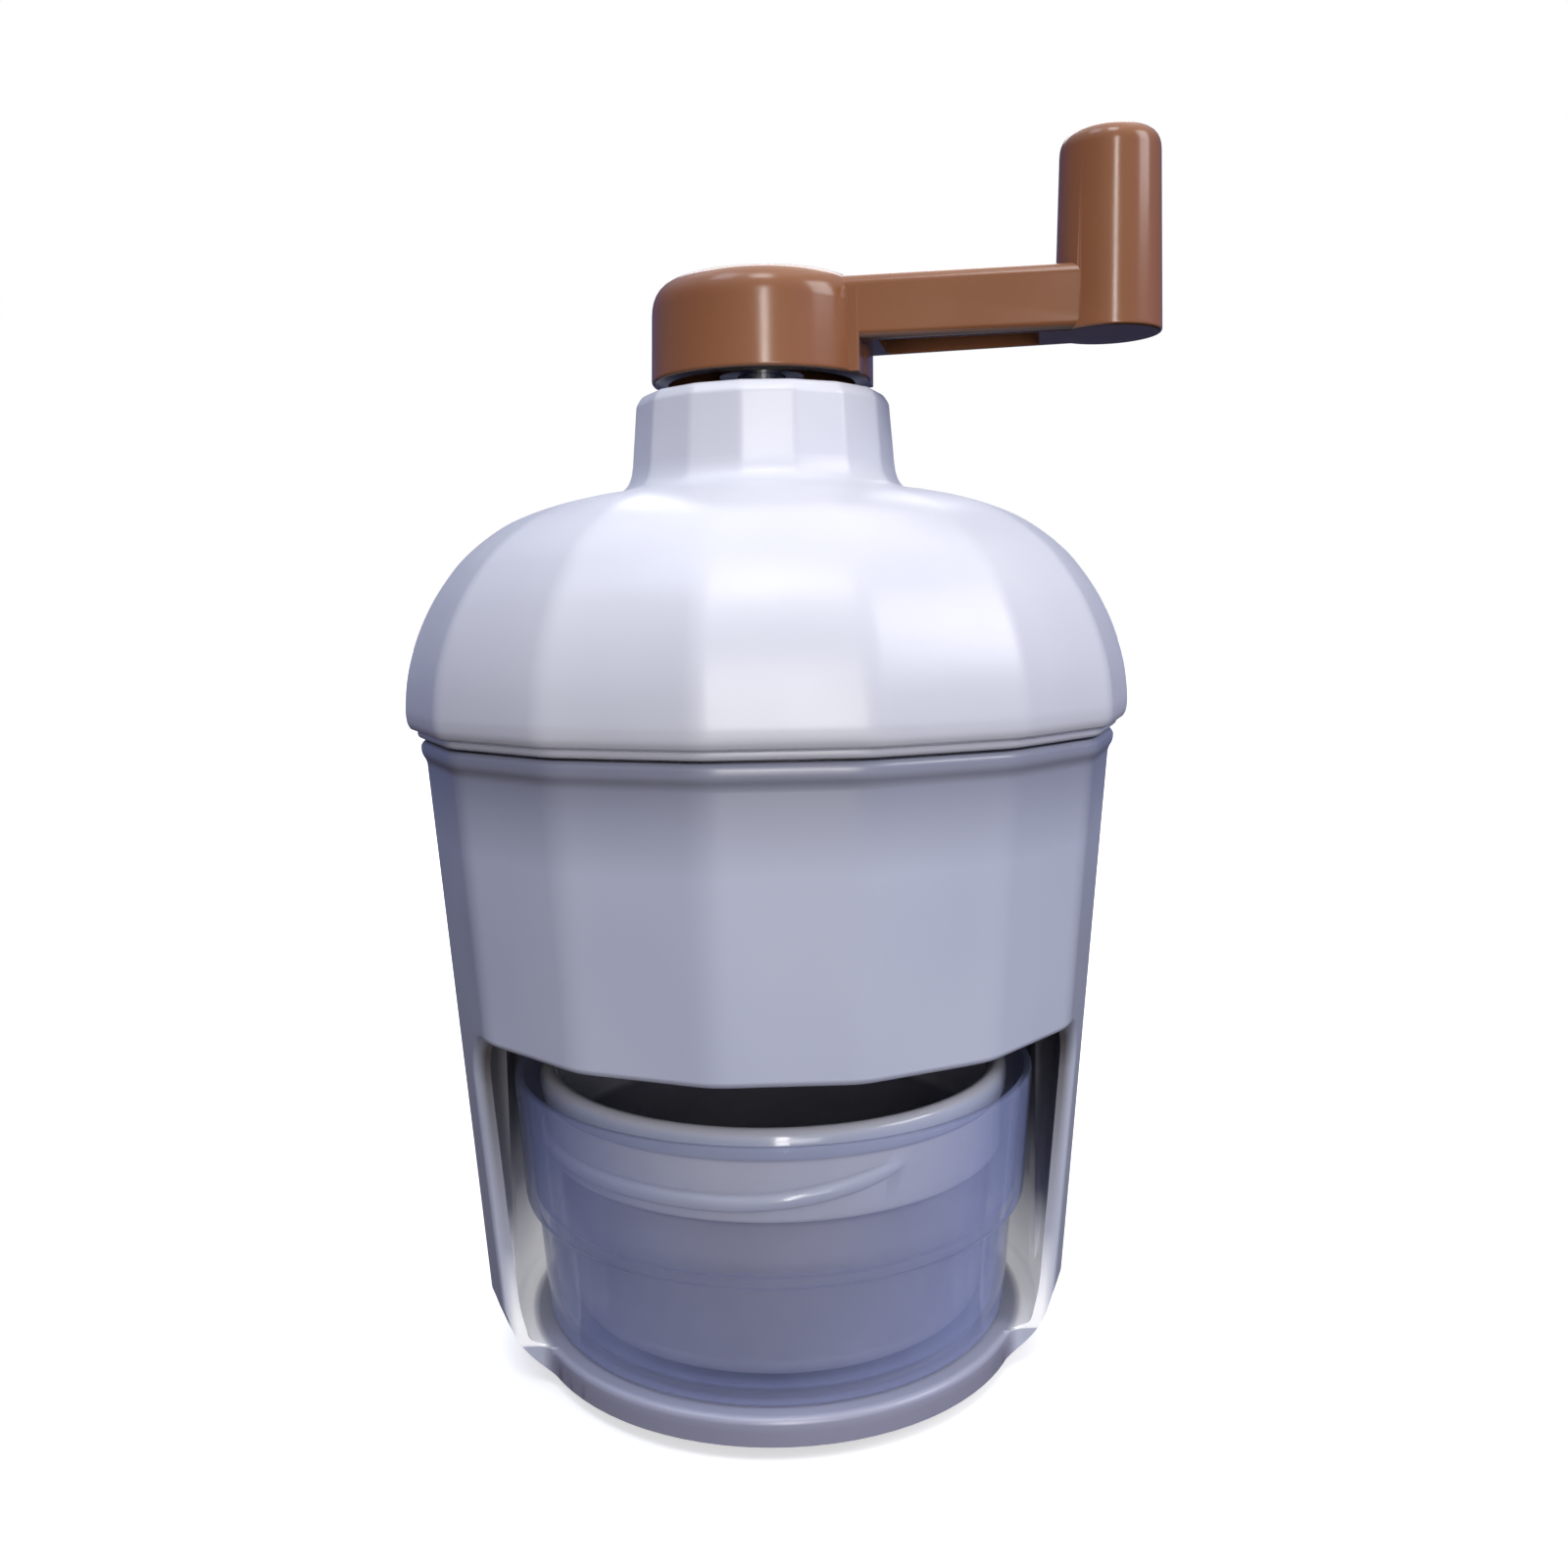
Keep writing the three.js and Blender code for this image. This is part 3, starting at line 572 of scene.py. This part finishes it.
body_low, body_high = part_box("body_shell")
BODY_TOP = body_high.z / MM
BODY_FOOT = body_low.z / MM
CHAMBER_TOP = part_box("ice_chamber")[1].z / MM
cup_low, cup_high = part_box("receiver_cup")
# The cup stands 0.3 mm above the bay's floor, and the chamber's flange hangs on the ledge.
FLOOR_TOP = cup_low.z / MM - 0.3
LEDGE = CHAMBER_TOP - 2.3
LEDGE_R = 52.5
# The window takes everything in front of WINDOW_Y. Below it the floor stays as a disc, which meets the foot
# of each jamb in a small hollow.
WINDOW_Y = -20.0
WINDOW_TOP = CHAMBER_TOP - 41.3
WINDOW_CORNER = 11.0
FLOOR_DISC = 46.0
FOOT_HOLLOW = 5.0


def body_outer():
    rows = [(0, BODY_FOOT, 0, 0), (44.0, BODY_FOOT, 0.5, 0)]
    foot = smooth_run([(44.9, BODY_FOOT + 0.2), (46.0, BODY_FOOT + 0.6), (48.3, BODY_FOOT + 2.3),
                       (50.9, BODY_FOOT + 5.0), (53.0, BODY_FOOT + 8.4), (54.6, BODY_FOOT + 12.6)], 3)
    rows += [(r, z, 0, min(1.0, max(0.0, (z - BODY_FOOT - 2) / 9))) for r, z in foot]
    rows += [(61.9, BODY_TOP - 3.6, 0.8, 1), (62.75, BODY_TOP - 2.3, 0.7, 1), (62.8, BODY_TOP - 0.7, 0.6, 1),
             (62.1, BODY_TOP, 0.3, 1), (0, BODY_TOP, 0, 1)]
    return revolve("body_hull", rounded(rows), facet_columns(BODY_EDGE), closed=False)


def body_cavity():
    rows = [(0, FLOOR_TOP, 0, 0), (46.5, FLOOR_TOP, 0.5, 0), (49.6, FLOOR_TOP + 1.0, 1.0, 0),
            (51, FLOOR_TOP + 7.5, 2.5, 0), (57.1, LEDGE - 7, 1.5, 0), (LEDGE_R, LEDGE - 2.4, 1, 0),
            (LEDGE_R, LEDGE, 0.3, 0), (57.6, LEDGE, 0.4, 0), (57.6, BODY_TOP + 1, 0, 0),
            (0, BODY_TOP + 1, 0, 0)]
    return lathe("cavity", rows, 96)


def window_upper():
    """The opening seen from the side, with its rounded upper corner, cut straight across the body."""
    reach = FAR * MM
    corner = arc_points(WINDOW_Y - WINDOW_CORNER, WINDOW_TOP - WINDOW_CORNER, WINDOW_CORNER, 0, 90, 10)
    outline = [(-FAR, FLOOR_TOP), (WINDOW_Y, FLOOR_TOP)] + corner + [(-FAR, WINDOW_TOP)]
    return sweep_outline("window_upper", outline,
                         lambda p: (-reach, p[0] * MM, p[1] * MM), lambda p: (reach, p[0] * MM, p[1] * MM))


def window_lower():
    """What is cut away round the floor's disc, seen from above."""
    side = math.sqrt((FLOOR_DISC + FOOT_HOLLOW) ** 2 - (FOOT_HOLLOW - WINDOW_Y) ** 2)
    touch = math.degrees(math.atan2(WINDOW_Y - FOOT_HOLLOW, side))
    right = arc_points(side, WINDOW_Y - FOOT_HOLLOW, FOOT_HOLLOW, 90, 180 + touch, 8)
    front = arc_points(0, 0, FLOOR_DISC, touch, -180 - touch, 48)[1:-1]
    left = [(-x, y) for x, y in right][::-1]
    outline = [(FAR, -FAR), (FAR, WINDOW_Y)] + right + front + left + [(-FAR, WINDOW_Y), (-FAR, -FAR)]
    return sweep_outline("window_lower", outline, at_height(0), at_height(FLOOR_TOP + 0.01))


def rib_blocks():
    """An upright rib on the inner wall at each side."""
    outline = [(50.2, -2.2), (70, -2.2), (70, 2.2), (50.2, 2.2)]
    low, high = at_height(FLOOR_TOP - 1), at_height(LEDGE - 8)
    first = sweep_outline("ribs", outline, low, high)
    mirrored = [(-x, y) for x, y in outline][::-1]
    return combine(first, sweep_outline("ribs_left", mirrored, low, high), "UNION")


def on_window(place):
    """On the window's outer edges: the apron's, the jambs' and the upper edge of the floor's open front."""
    radius, height = math.hypot(place.x, place.y) / MM, place.z / MM
    if height < FLOOR_TOP + 0.1:
        return height > FLOOR_TOP - 0.1 and place.y < (WINDOW_Y - 1) * MM and radius < FLOOR_DISC + 5
    return radius > 52.5 + 0.066 * height and height < WINDOW_TOP + 0.1 and place.y < (WINDOW_Y + 0.1) * MM


def build_body():
    hull = body_outer()
    trim = body_outer()
    combine(hull, body_cavity(), "DIFFERENCE")
    ribs = combine(rib_blocks(), trim, "INTERSECT")
    combine(hull, ribs, "UNION")
    combine(hull, window_upper(), "DIFFERENCE")
    combine(hull, window_lower(), "DIFFERENCE")
    pad_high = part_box("base_pad")[1]
    recess_r = pad_high.x / MM + 0.3
    recess_top = pad_high.z / MM + 0.3
    recess = [(0, -1, 0, 0), (recess_r, -1, 0, 0), (recess_r, recess_top, 0, 0), (0, recess_top, 0, 0)]
    combine(hull, lathe("recess", recess, 96), "DIFFERENCE")
    for name in ("chamber_screw_1", "chamber_screw_2", "chamber_screw_3"):
        low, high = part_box(name)
        middle = (low + high) / 2
        hole = lathe("hole", [(0, 103.8, 0, 0), (1.6, 103.8, 0, 0), (1.6, 112, 0, 0), (0, 112, 0, 0)], 16)
        hole.data.transform(Matrix.Translation((middle.x, middle.y, 0)))
        combine(hull, hole, "DIFFERENCE")
    soften_cuts(hull, 1.2, 40, 4, keep=on_window, clamp=False)
    soften_cuts(hull, 0.5, 40, 3, keep=lambda place: not on_window(place))
    finish_piece(hull, "base", SHELL_WHITE, ["body_shell"], 38, True)


build_body()

# ---- lid ----------------------------------------------------------------

NECK_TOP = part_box("lid_dome")[1].z / MM
SPIGOT_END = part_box("lid_seal")[1].z / MM + 0.3
SEAM = SPIGOT_END + 2.0


def dome_weight(z):
    """The facets soften over the shoulder and come back up the neck."""
    over = min(1.0, max(0.0, (z - 138) / 16))
    back = min(1.0, max(0.0, (z - 158.5) / 5))
    return 1 - 0.6 * over + 0.6 * back


def build_lid():
    outer = [(57.1, SPIGOT_END, 0.3, 0), (57.1, SEAM, 0.1, 0), (62.7, SEAM, 0.35, 1),
             (63.2, SEAM + 0.5, 0.3, 1), (63.2, SEAM + 1.25, 0.12, 1), (62.95, SEAM + 1.4, 0.06, 1),
             (63.9, SEAM + 1.5, 0.1, 1)]
    bowl = smooth_run([(64.4, SEAM + 1.7), (64.85, SEAM + 2.6), (65.04, SEAM + 3.9), (65.04, SEAM + 5.6),
                       (64.6, 126.5), (63.6, 130.8), (61.8, 135.8), (59.2, 140.8), (55.6, 145.8),
                       (52.9, 148.6), (49.8, 151.1), (46.4, 153.3), (42.4, 155.1), (37.8, 156.6),
                       (32.6, 157.8), (28.4, 158.55), (26.0, 159.2), (24.8, 160.2), (24.1, 161.8),
                       (23.8, 163.6)], 4)
    outer += [(r, z, 0, dome_weight(z)) for r, z in bowl]
    outer += [(22.9, NECK_TOP - 2, 0.4, 1), (21.7, NECK_TOP, 1.2, 1), (6.7, NECK_TOP, 0.3, 0)]
    inner = [(6.7, NECK_TOP - 3.2, 0.3, 0), (19.3, NECK_TOP - 3.2, 0.8, 0), (19.3, 159, 1.5, 0),
             (30, 155.6, 3, 0), (40, 152.6, 4, 0), (47.6, 148.4, 3, 0), (53.6, 142.8, 3, 0),
             (57.8, 136.6, 3, 0), (60.2, 130.4, 3, 0), (61.2, 124, 2, 0), (60.4, SEAM + 3.8, 1, 0),
             (53.4, SEAM + 2.2, 0.8, 0), (53.4, SPIGOT_END, 0.3, 0)]
    rows = rounded(outer + inner, steps=3, closed=True)
    dome = revolve("lid_shell", rows, facet_columns(LID_EDGE))
    finish_piece(dome, "lid", WHITE, ["lid_dome"], 50, True)


build_lid()

# ---- crank --------------------------------------------------------------

crank_low, crank_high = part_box("crank_handle")
CRANK_TURN = math.radians(-14.25)
HUB_FOOT = crank_low.z / MM
HUB_TOP = HUB_FOOT + 17.6
GRIP_TOP = crank_high.z / MM
ARM_LOW, ARM_HIGH = HUB_FOOT + 5.5, HUB_FOOT + 16.5
ARM_ROOT, GRIP_AT = 14.2, 60.5


def arm_ring(x, half, low, high, round_low, round_high):
    """Section of the arm across x, with its lower and upper corners rounded."""
    right = arc_points(half - round_low, low + round_low, round_low, -90, 0, 5)
    right += arc_points(half - round_high, high - round_high, round_high, 0, 90, 5)
    points = right + [(-y, z) for y, z in right][::-1]
    return [Vector((x * MM, y * MM, z * MM)) for y, z in points]


def loft_rings(name, rings):
    """Skin over rings of points, closed at both ends."""
    bm = bmesh.new()
    made = [[bm.verts.new(p) for p in ring] for ring in rings]
    n = len(rings[0])
    for a, b in zip(made, made[1:]):
        for j in range(n):
            k = (j + 1) % n
            bm.faces.new((a[j], a[k], b[k], b[j]))
    bm.faces.new(made[0][::-1])
    bm.faces.new(made[-1])
    return to_object(name, bm)


def arm_half(x):
    """Half the arm's width, which tapers towards the grip."""
    return 9.4 - 2.2 * (x - ARM_ROOT) / (GRIP_AT - ARM_ROOT)


def build_crank():
    """Modelled with the arm along +X, then turned to where the photo has it."""
    hub = lathe("crank_arm", [(0, HUB_FOOT, 0, 0), (19.8, HUB_FOOT, 0.9, 0), (19.3, HUB_TOP, 5.6, 0),
                              (0, HUB_TOP, 0, 0)], 128, 9)
    half = 9.4
    pad = [(0, -half), (18.6, -half), (19, -half + 0.4), (19, half - 0.4), (18.6, half), (0, half)]
    combine(hub, sweep_outline("pad", pad, at_height(HUB_FOOT + 0.2), at_height(ARM_HIGH - 2.4)), "UNION")
    arm = loft_rings("arm", [arm_ring(x, arm_half(x), ARM_LOW, ARM_HIGH, 1.6, 2.2)
                             for x in (ARM_ROOT, 26, 38, 50, GRIP_AT)])
    combine(hub, arm, "UNION")
    grip = lathe("grip", [(0, ARM_LOW, 0, 0), (9, ARM_LOW, 0.6, 0), (8.3, GRIP_TOP, 3.4, 0),
                          (0, GRIP_TOP, 0, 0)], 96, 8)
    grip.data.transform(Matrix.Translation((GRIP_AT * MM, 0, 0)))
    combine(hub, grip, "UNION")
    inside, roof, below = 16.8, HUB_TOP - 3, HUB_FOOT - 1
    hollow = [(7.6, below, 0, 0), (inside, below, 0, 0), (inside, roof - 1, 1.5, 0),
              (inside - 1, roof, 0.8, 0), (7.6, roof, 0.6, 0)]
    combine(hub, revolve("hollow", rounded(hollow, 3, closed=True), round_columns(96)), "DIFFERENCE")
    boss_end = HUB_FOOT + 1.5
    boss = [(0, below, 0, 0), (8.1, below, 0, 0), (8.1, boss_end, 0, 0), (0, boss_end, 0, 0)]
    combine(hub, lathe("boss_cut", boss, 64), "DIFFERENCE")
    bore = [(0, below, 0, 0), (4.3, below, 0, 0), (4.3, 190.3, 0, 0), (0, 190.3, 0, 0)]
    combine(hub, lathe("bore", bore, 48), "DIFFERENCE")
    channel = loft_rings("channel", [
        arm_ring(x, arm_half(x) - 2.2, ARM_LOW - 1, ARM_LOW + 4.5, 0.3, 1.2) for x in (22.0, 49.0)])
    combine(hub, channel, "DIFFERENCE")
    soften_cuts(hub, 0.35, 50)
    hub.data.transform(Matrix.Rotation(CRANK_TURN, 4, "Z"))
    finish_piece(hub, "crank", BROWN, ["crank_handle"], 38, True)


build_crank()

# ---- cup and mould ------------------------------------------------------

CUP_FOOT = cup_low.z / MM
CUP_RIM = cup_high.z / MM
# The mould's bead and ridge stand out to about 44.3 mm from a neck of 43.2.
RIDGE_FROM, RIDGE_TO, RIDGE_DROP = 32.0, -150.0, 48.0
RIDGE_HIGH, RIDGE_FALL = 48.0, 5.2
RIDGE_ROOT, RIDGE_LOW_PEAK, RIDGE_PEAK = 42.6, 42.9, 44.3


def build_cup():
    rows = [(0, CUP_FOOT + 0.6, 0, 0), (39.6, CUP_FOOT + 0.6, 0.3, 0), (40.0, CUP_FOOT, 0.3, 0),
            (42.9, CUP_FOOT, 0.8, 0), (43.6, CUP_FOOT + 1.6, 1.2, 0), (45.2, 29.6, 0.7, 0),
            (46.9, 30.2, 0.5, 0), (47.3, 31.4, 0.6, 0), (48.65, CUP_RIM - 0.9, 0.4, 0),
            (48.5, CUP_RIM, 0.6, 0), (47.1, CUP_RIM, 0.6, 0), (46.95, CUP_RIM - 1, 0.5, 0),
            (45.7, 32.2, 0.6, 0), (45.3, 31.4, 0.5, 0), (43.6, 30.6, 0.7, 0), (42.0, 11.4, 1.6, 0),
            (41.0, 9.6, 1.0, 0), (0, 9.6, 0, 0)]
    cup = lathe("cup_clear", rows, ROUND)
    finish_piece(cup, "cup", CLEAR, ["receiver_cup"], 45)


def ridge_rings():
    """The thread's single ridge: it leaves the bead at the right, drops, then runs level round the neck.

    Both of its ends fade into the neck. Its angles are degrees to the right of the front.
    """
    rings = []
    steps = 90
    for i in range(steps + 1):
        turn = RIDGE_FROM + (RIDGE_TO - RIDGE_FROM) * i / steps
        fall = min(1.0, (RIDGE_FROM - turn) / RIDGE_DROP)
        fade = min(1.0, i / 10, (steps - i) / 10)
        z = RIDGE_HIGH - RIDGE_FALL * math.sin(fall * math.pi / 2)
        peak = RIDGE_LOW_PEAK + (RIDGE_PEAK - RIDGE_LOW_PEAK) * math.sin(fade * math.pi / 2)
        a = math.radians(turn)
        section = [(RIDGE_ROOT, z - 1.7), (peak - 0.6, z - 1.35), (peak - 0.15, z - 0.8), (peak, z),
                   (peak - 0.15, z + 0.8), (peak - 0.6, z + 1.35), (RIDGE_ROOT, z + 1.7)]
        rings.append([Vector((r * math.sin(a) * MM, -r * math.cos(a) * MM, h * MM)) for r, h in section])
    return rings


def build_mould():
    low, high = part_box("ice_mould")
    foot, rim = low.z / MM, high.z / MM
    rows = [(0, foot, 0, 0), (35.8, foot, 1.5, 0), (38.9, foot + 1.1, 1.5, 0), (39.8, foot + 4, 2.0, 0),
            (41.2, 38.6, 0.8, 0), (43.0, 39.5, 0.5, 0), (43.2, 40.6, 0.4, 0), (43.2, rim - 5.5, 0.4, 0),
            (44.0, rim - 4.9, 0.5, 0), (44.1, rim - 2.6, 1.2, 0), (43.6, rim - 0.8, 0.9, 0),
            (42.2, rim, 0.9, 0), (41.0, rim - 0.6, 0.7, 0), (40.6, rim - 2.4, 0.8, 0), (40.5, 39.6, 2, 0),
            (38.2, foot + 5, 1.5, 0), (37.0, foot + 2.8, 1.2, 0), (34.4, foot + 1.6, 1.2, 0),
            (0, foot + 1.6, 0, 0)]
    pot = lathe("mould_milky", rows, ROUND)
    combine(pot, loft_rings("ridge", ridge_rings()), "UNION")
    finish_piece(pot, "mould", MILKY, ["ice_mould"], 45)


build_cup()
build_mould()

# ---- spring -------------------------------------------------------------


def build_spring():
    """Coil with closed ends, built at the CAD spring's length; the real one is squashed from below as the
    shaft rises.
    """
    low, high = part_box("pressure_spring")
    # Radius of the wire and of the coil's middle line.
    wire = 0.75
    radius = 8.3
    z0, z1 = low.z / MM + wire, high.z / MM - wire
    coils, per_coil, sides = 11, 28, 10
    steps = coils * per_coil
    closed_turns = 1.1
    pitch_low = wire * 2.02

    def height(t):
        turn = t * coils
        span = z1 - z0 - 2 * closed_turns * pitch_low
        if turn < closed_turns:
            return z0 + turn * pitch_low
        if turn > coils - closed_turns:
            return z1 - (coils - turn) * pitch_low
        s = (turn - closed_turns) / (coils - 2 * closed_turns)
        return z0 + closed_turns * pitch_low + span * s

    rings = []
    for i in range(steps + 1):
        t = i / steps
        a = 2 * math.pi * coils * t
        taper = 0.55 + 0.45 * min(1.0, i / 14, (steps - i) / 14)
        out = Vector((math.cos(a), math.sin(a), 0))
        center = out * radius + Vector((0, 0, height(t)))
        ring = []
        for j in range(sides):
            b = 2 * math.pi * j / sides
            lift = Vector((0, 0, wire * taper * math.sin(b)))
            ring.append((center + out * (wire * math.cos(b)) + lift) * MM)
        rings.append(ring)
    coil = loft_rings("spring_coil", rings)
    finish_piece(coil, "lid", WIRE, ["pressure_spring"], 60)
    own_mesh(coil)


build_spring()

# ---- carried-over CAD nodes ---------------------------------------------

# Material and width of the edge bevel in mm, for the pieces that keep their CAD mesh.
CARRIED = {
    "base_pad": (PAD_RUBBER, 0.5),
    "ice_chamber": (INNER_WHITE, 0.25),
    "chamber_screw_1": (STEEL, 0.12),
    "chamber_screw_2": (STEEL, 0.12),
    "chamber_screw_3": (STEEL, 0.12),
    "blade": (BLADE_STEEL, 0.05),
    "blade_clamp": (STEEL, 0.15),
    "blade_screw_1": (STEEL, 0.12),
    "blade_screw_2": (STEEL, 0.12),
    "lid_seal": (SEAL_RUBBER, 0.2),
    "neck_bush": (BUSH, 0.2),
    "thrust_washer": (STEEL, 0.2),
    "drive_shaft": (STEEL, 0.2),
    "hub_pin": (STEEL, 0.1),
    "presser_plate": (WHITE, 0.25),
    "toothed_plate": (STEEL, 0.1),
    "presser_nut": (STEEL, 0.25),
}
for node_name, (paint, width) in CARRIED.items():
    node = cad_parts[node_name]
    node.data.materials.clear()
    node.data.materials.append(paint)
    node.data.polygons.foreach_set("use_smooth", [True] * len(node.data.polygons))
    node.data.set_sharp_from_angle(angle=math.radians(32))
    flats = node.modifiers.new("flats", "DECIMATE")
    flats.decimate_type = "DISSOLVE"
    flats.angle_limit = math.radians(0.5)
    edges = node.modifiers.new("edges", "BEVEL")
    edges.width = width * MM
    edges.segments = 2
    edges.limit_method = "ANGLE"
    edges.angle_limit = math.radians(35)
    edges.harden_normals = False

# ---- floor, light, camera -----------------------------------------------


def stage_floor():
    """White floor that shows only to the camera. It glows less near the part, so that a soft shadow shows."""
    bm = bmesh.new()
    bmesh.ops.create_grid(bm, x_segments=2, y_segments=2, size=6.0)
    obj = to_object("floor", bm)
    obj.matrix_world = Matrix.Translation((0, 0, -0.0002))
    p = Paint("floor")
    p.color(p.ramp(p.noise(6, 2), [(0.3, (0.74, 0.74, 0.74)), (0.7, (0.7548, 0.7548, 0.7548))]))
    p.set(Roughness=0.9, Specular_IOR_Level=0.1)
    p.shader.inputs["Emission Color"].default_value = (1, 1, 1, 1)
    p.link(p.spread(p.place()[0], 0.10, 0.45, 0.55, 1.0), p.shader.inputs["Emission Strength"])
    obj.data.materials.append(p.material)
    for ray in ("visible_diffuse", "visible_glossy", "visible_shadow"):
        setattr(obj, ray, False)


def area_light(name, place, aim, size, size_y, energy, color):
    data = bpy.data.lights.new(name, "AREA")
    data.shape = "RECTANGLE"
    data.size = size
    data.size_y = size_y
    data.energy = energy
    data.color = color
    lamp = bpy.data.objects.new(name, data)
    bpy.context.scene.collection.objects.link(lamp)
    direction = Vector(aim) - Vector(place)
    lamp.rotation_euler = direction.to_track_quat("-Z", "Y").to_euler()
    lamp.location = place


stage_floor()


def backdrop():
    """A white shell far round the set. It shows only to the camera; the room's light comes from the world."""
    bm = bmesh.new()
    bmesh.ops.create_icosphere(bm, subdivisions=4, radius=8.0)
    obj = to_object("backdrop", bm)
    p = Paint("backdrop")
    p.color(p.ramp(p.noise(0.5, 2), [(0.3, (0.0, 0.0, 0.0)), (0.7, (0.002, 0.002, 0.002))]))
    p.set(Roughness=1.0, Specular_IOR_Level=0.0, Emission_Strength=1.0)
    p.shader.inputs["Emission Color"].default_value = (1, 1, 1, 1)
    obj.data.materials.append(p.material)
    for ray in ("visible_diffuse", "visible_glossy", "visible_shadow", "visible_volume_scatter"):
        setattr(obj, ray, False)


backdrop()


def room_light():
    """Bright overhead, dim in front, deep blue behind and to both sides, darker on the left and below."""
    world = bpy.data.worlds.new("studio")
    world.use_nodes = True
    tree = world.node_tree
    background = tree.nodes["Background"]
    coords = tree.nodes.new("ShaderNodeTexCoord")
    parts = tree.nodes.new("ShaderNodeSeparateXYZ")
    tree.links.new(coords.outputs["Generated"], parts.inputs[0])

    def spread(value, low, high, low_out, high_out):
        made = tree.nodes.new("ShaderNodeMapRange")
        made.interpolation_type = "SMOOTHSTEP"
        for key, number in (("From Min", low), ("From Max", high), ("To Min", low_out), ("To Max", high_out)):
            made.inputs[key].default_value = number
        tree.links.new(value, made.inputs["Value"])
        return made.outputs["Result"]

    def mix(factor, a, b):
        made = tree.nodes.new("ShaderNodeMix")
        made.data_type = "RGBA"
        tree.links.new(factor, made.inputs[0])
        for socket, value in ((made.inputs[6], a), (made.inputs[7], b)):
            if hasattr(value, "links"):
                tree.links.new(value, socket)
            else:
                socket.default_value = (*value, 1)
        return made.outputs[2]

    across = tree.nodes.new("ShaderNodeMath")
    across.operation = "ABSOLUTE"
    tree.links.new(parts.outputs[0], across.inputs[0])
    sides = mix(spread(parts.outputs[0], -0.6, 0.6, 0, 1), (0.004, 0.012, 0.13), (0.19, 0.25, 0.58))
    level = mix(spread(across.outputs[0], 0.25, 0.8, 0, 1), (0.34, 0.34, 0.37), sides)
    around = mix(spread(parts.outputs[1], -0.1, 0.4, 0, 1), level, (0.09, 0.11, 0.25))
    low = mix(spread(parts.outputs[2], -0.35, 0.0, 0, 1), (0.04, 0.03, 0.03), around)
    above = mix(spread(parts.outputs[0], -0.6, 0.3, 0, 1), (0.80, 0.86, 1.08), (0.98, 0.98, 1.0))
    tone = mix(spread(parts.outputs[2], 0.35, 0.9, 0, 1), low, above)
    tree.links.new(tone, background.inputs["Color"])
    background.inputs["Strength"].default_value = 1.0
    bpy.context.scene.world = world


room_light()
# Each light: where it stands, where it aims, its width and height in metres, watts, color.
area_light("window_high", (0.0, -0.50, 1.0), (0, 0, 0.14), 0.26, 0.26, 1.6, (1.0, 0.99, 0.98))
area_light("window_level", (0.03, -1.3, 0.35), (0, 0, 0.12), 0.14, 0.9, 5.6, (1.0, 0.97, 0.94))
area_light("window_left", (-0.5, -0.3, 1.2), (0, 0, 0.14), 0.4, 0.4, 1.4, (0.80, 0.87, 1.0))
area_light("window_low", (0.12, -0.60, 0.13), (0, 0, 0.045), 0.14, 0.14, 0.32, (1.0, 0.98, 0.97))
area_light("behind_high", (0.1, 0.9, 0.95), (0, 0, 0.1), 0.7, 0.5, 3.0, (0.98, 0.99, 1.0))
area_light("window_right", (0.95, -0.40, 0.75), (0, 0, 0.14), 0.5, 0.5, 4.2, (1.0, 0.98, 0.96))
area_light("top_soft", (0.0, 0.1, 1.5), (0, 0, 0.0), 1.6, 1.6, 4.0, (1.0, 0.99, 0.97))

# The photo's camera, fitted to its outline: 7 degrees down, panned 2.25 degrees right, with a slight roll.
camera_data = bpy.data.cameras.new("camera")
camera_data.sensor_width = 36
camera_data.lens = 31.73
camera_data.shift_x = 0.0099
camera_data.clip_start = 0.01
camera_data.clip_end = 50
camera = bpy.data.objects.new("camera", camera_data)
bpy.context.scene.collection.objects.link(camera)
pan = Matrix.Rotation(math.radians(-2.25), 4, "Z")
pitch = Matrix.Rotation(math.radians(83), 4, "X")
roll = Matrix.Rotation(-0.0165, 4, "Z")
camera.matrix_world = Matrix.Translation((-0.01005, -0.2558, 0.1372)) @ pan @ pitch @ roll
bpy.context.scene.camera = camera
bpy.context.scene.view_settings.view_transform = "Standard"

# ---- scene update -------------------------------------------------------

bpy.context.view_layer.update()
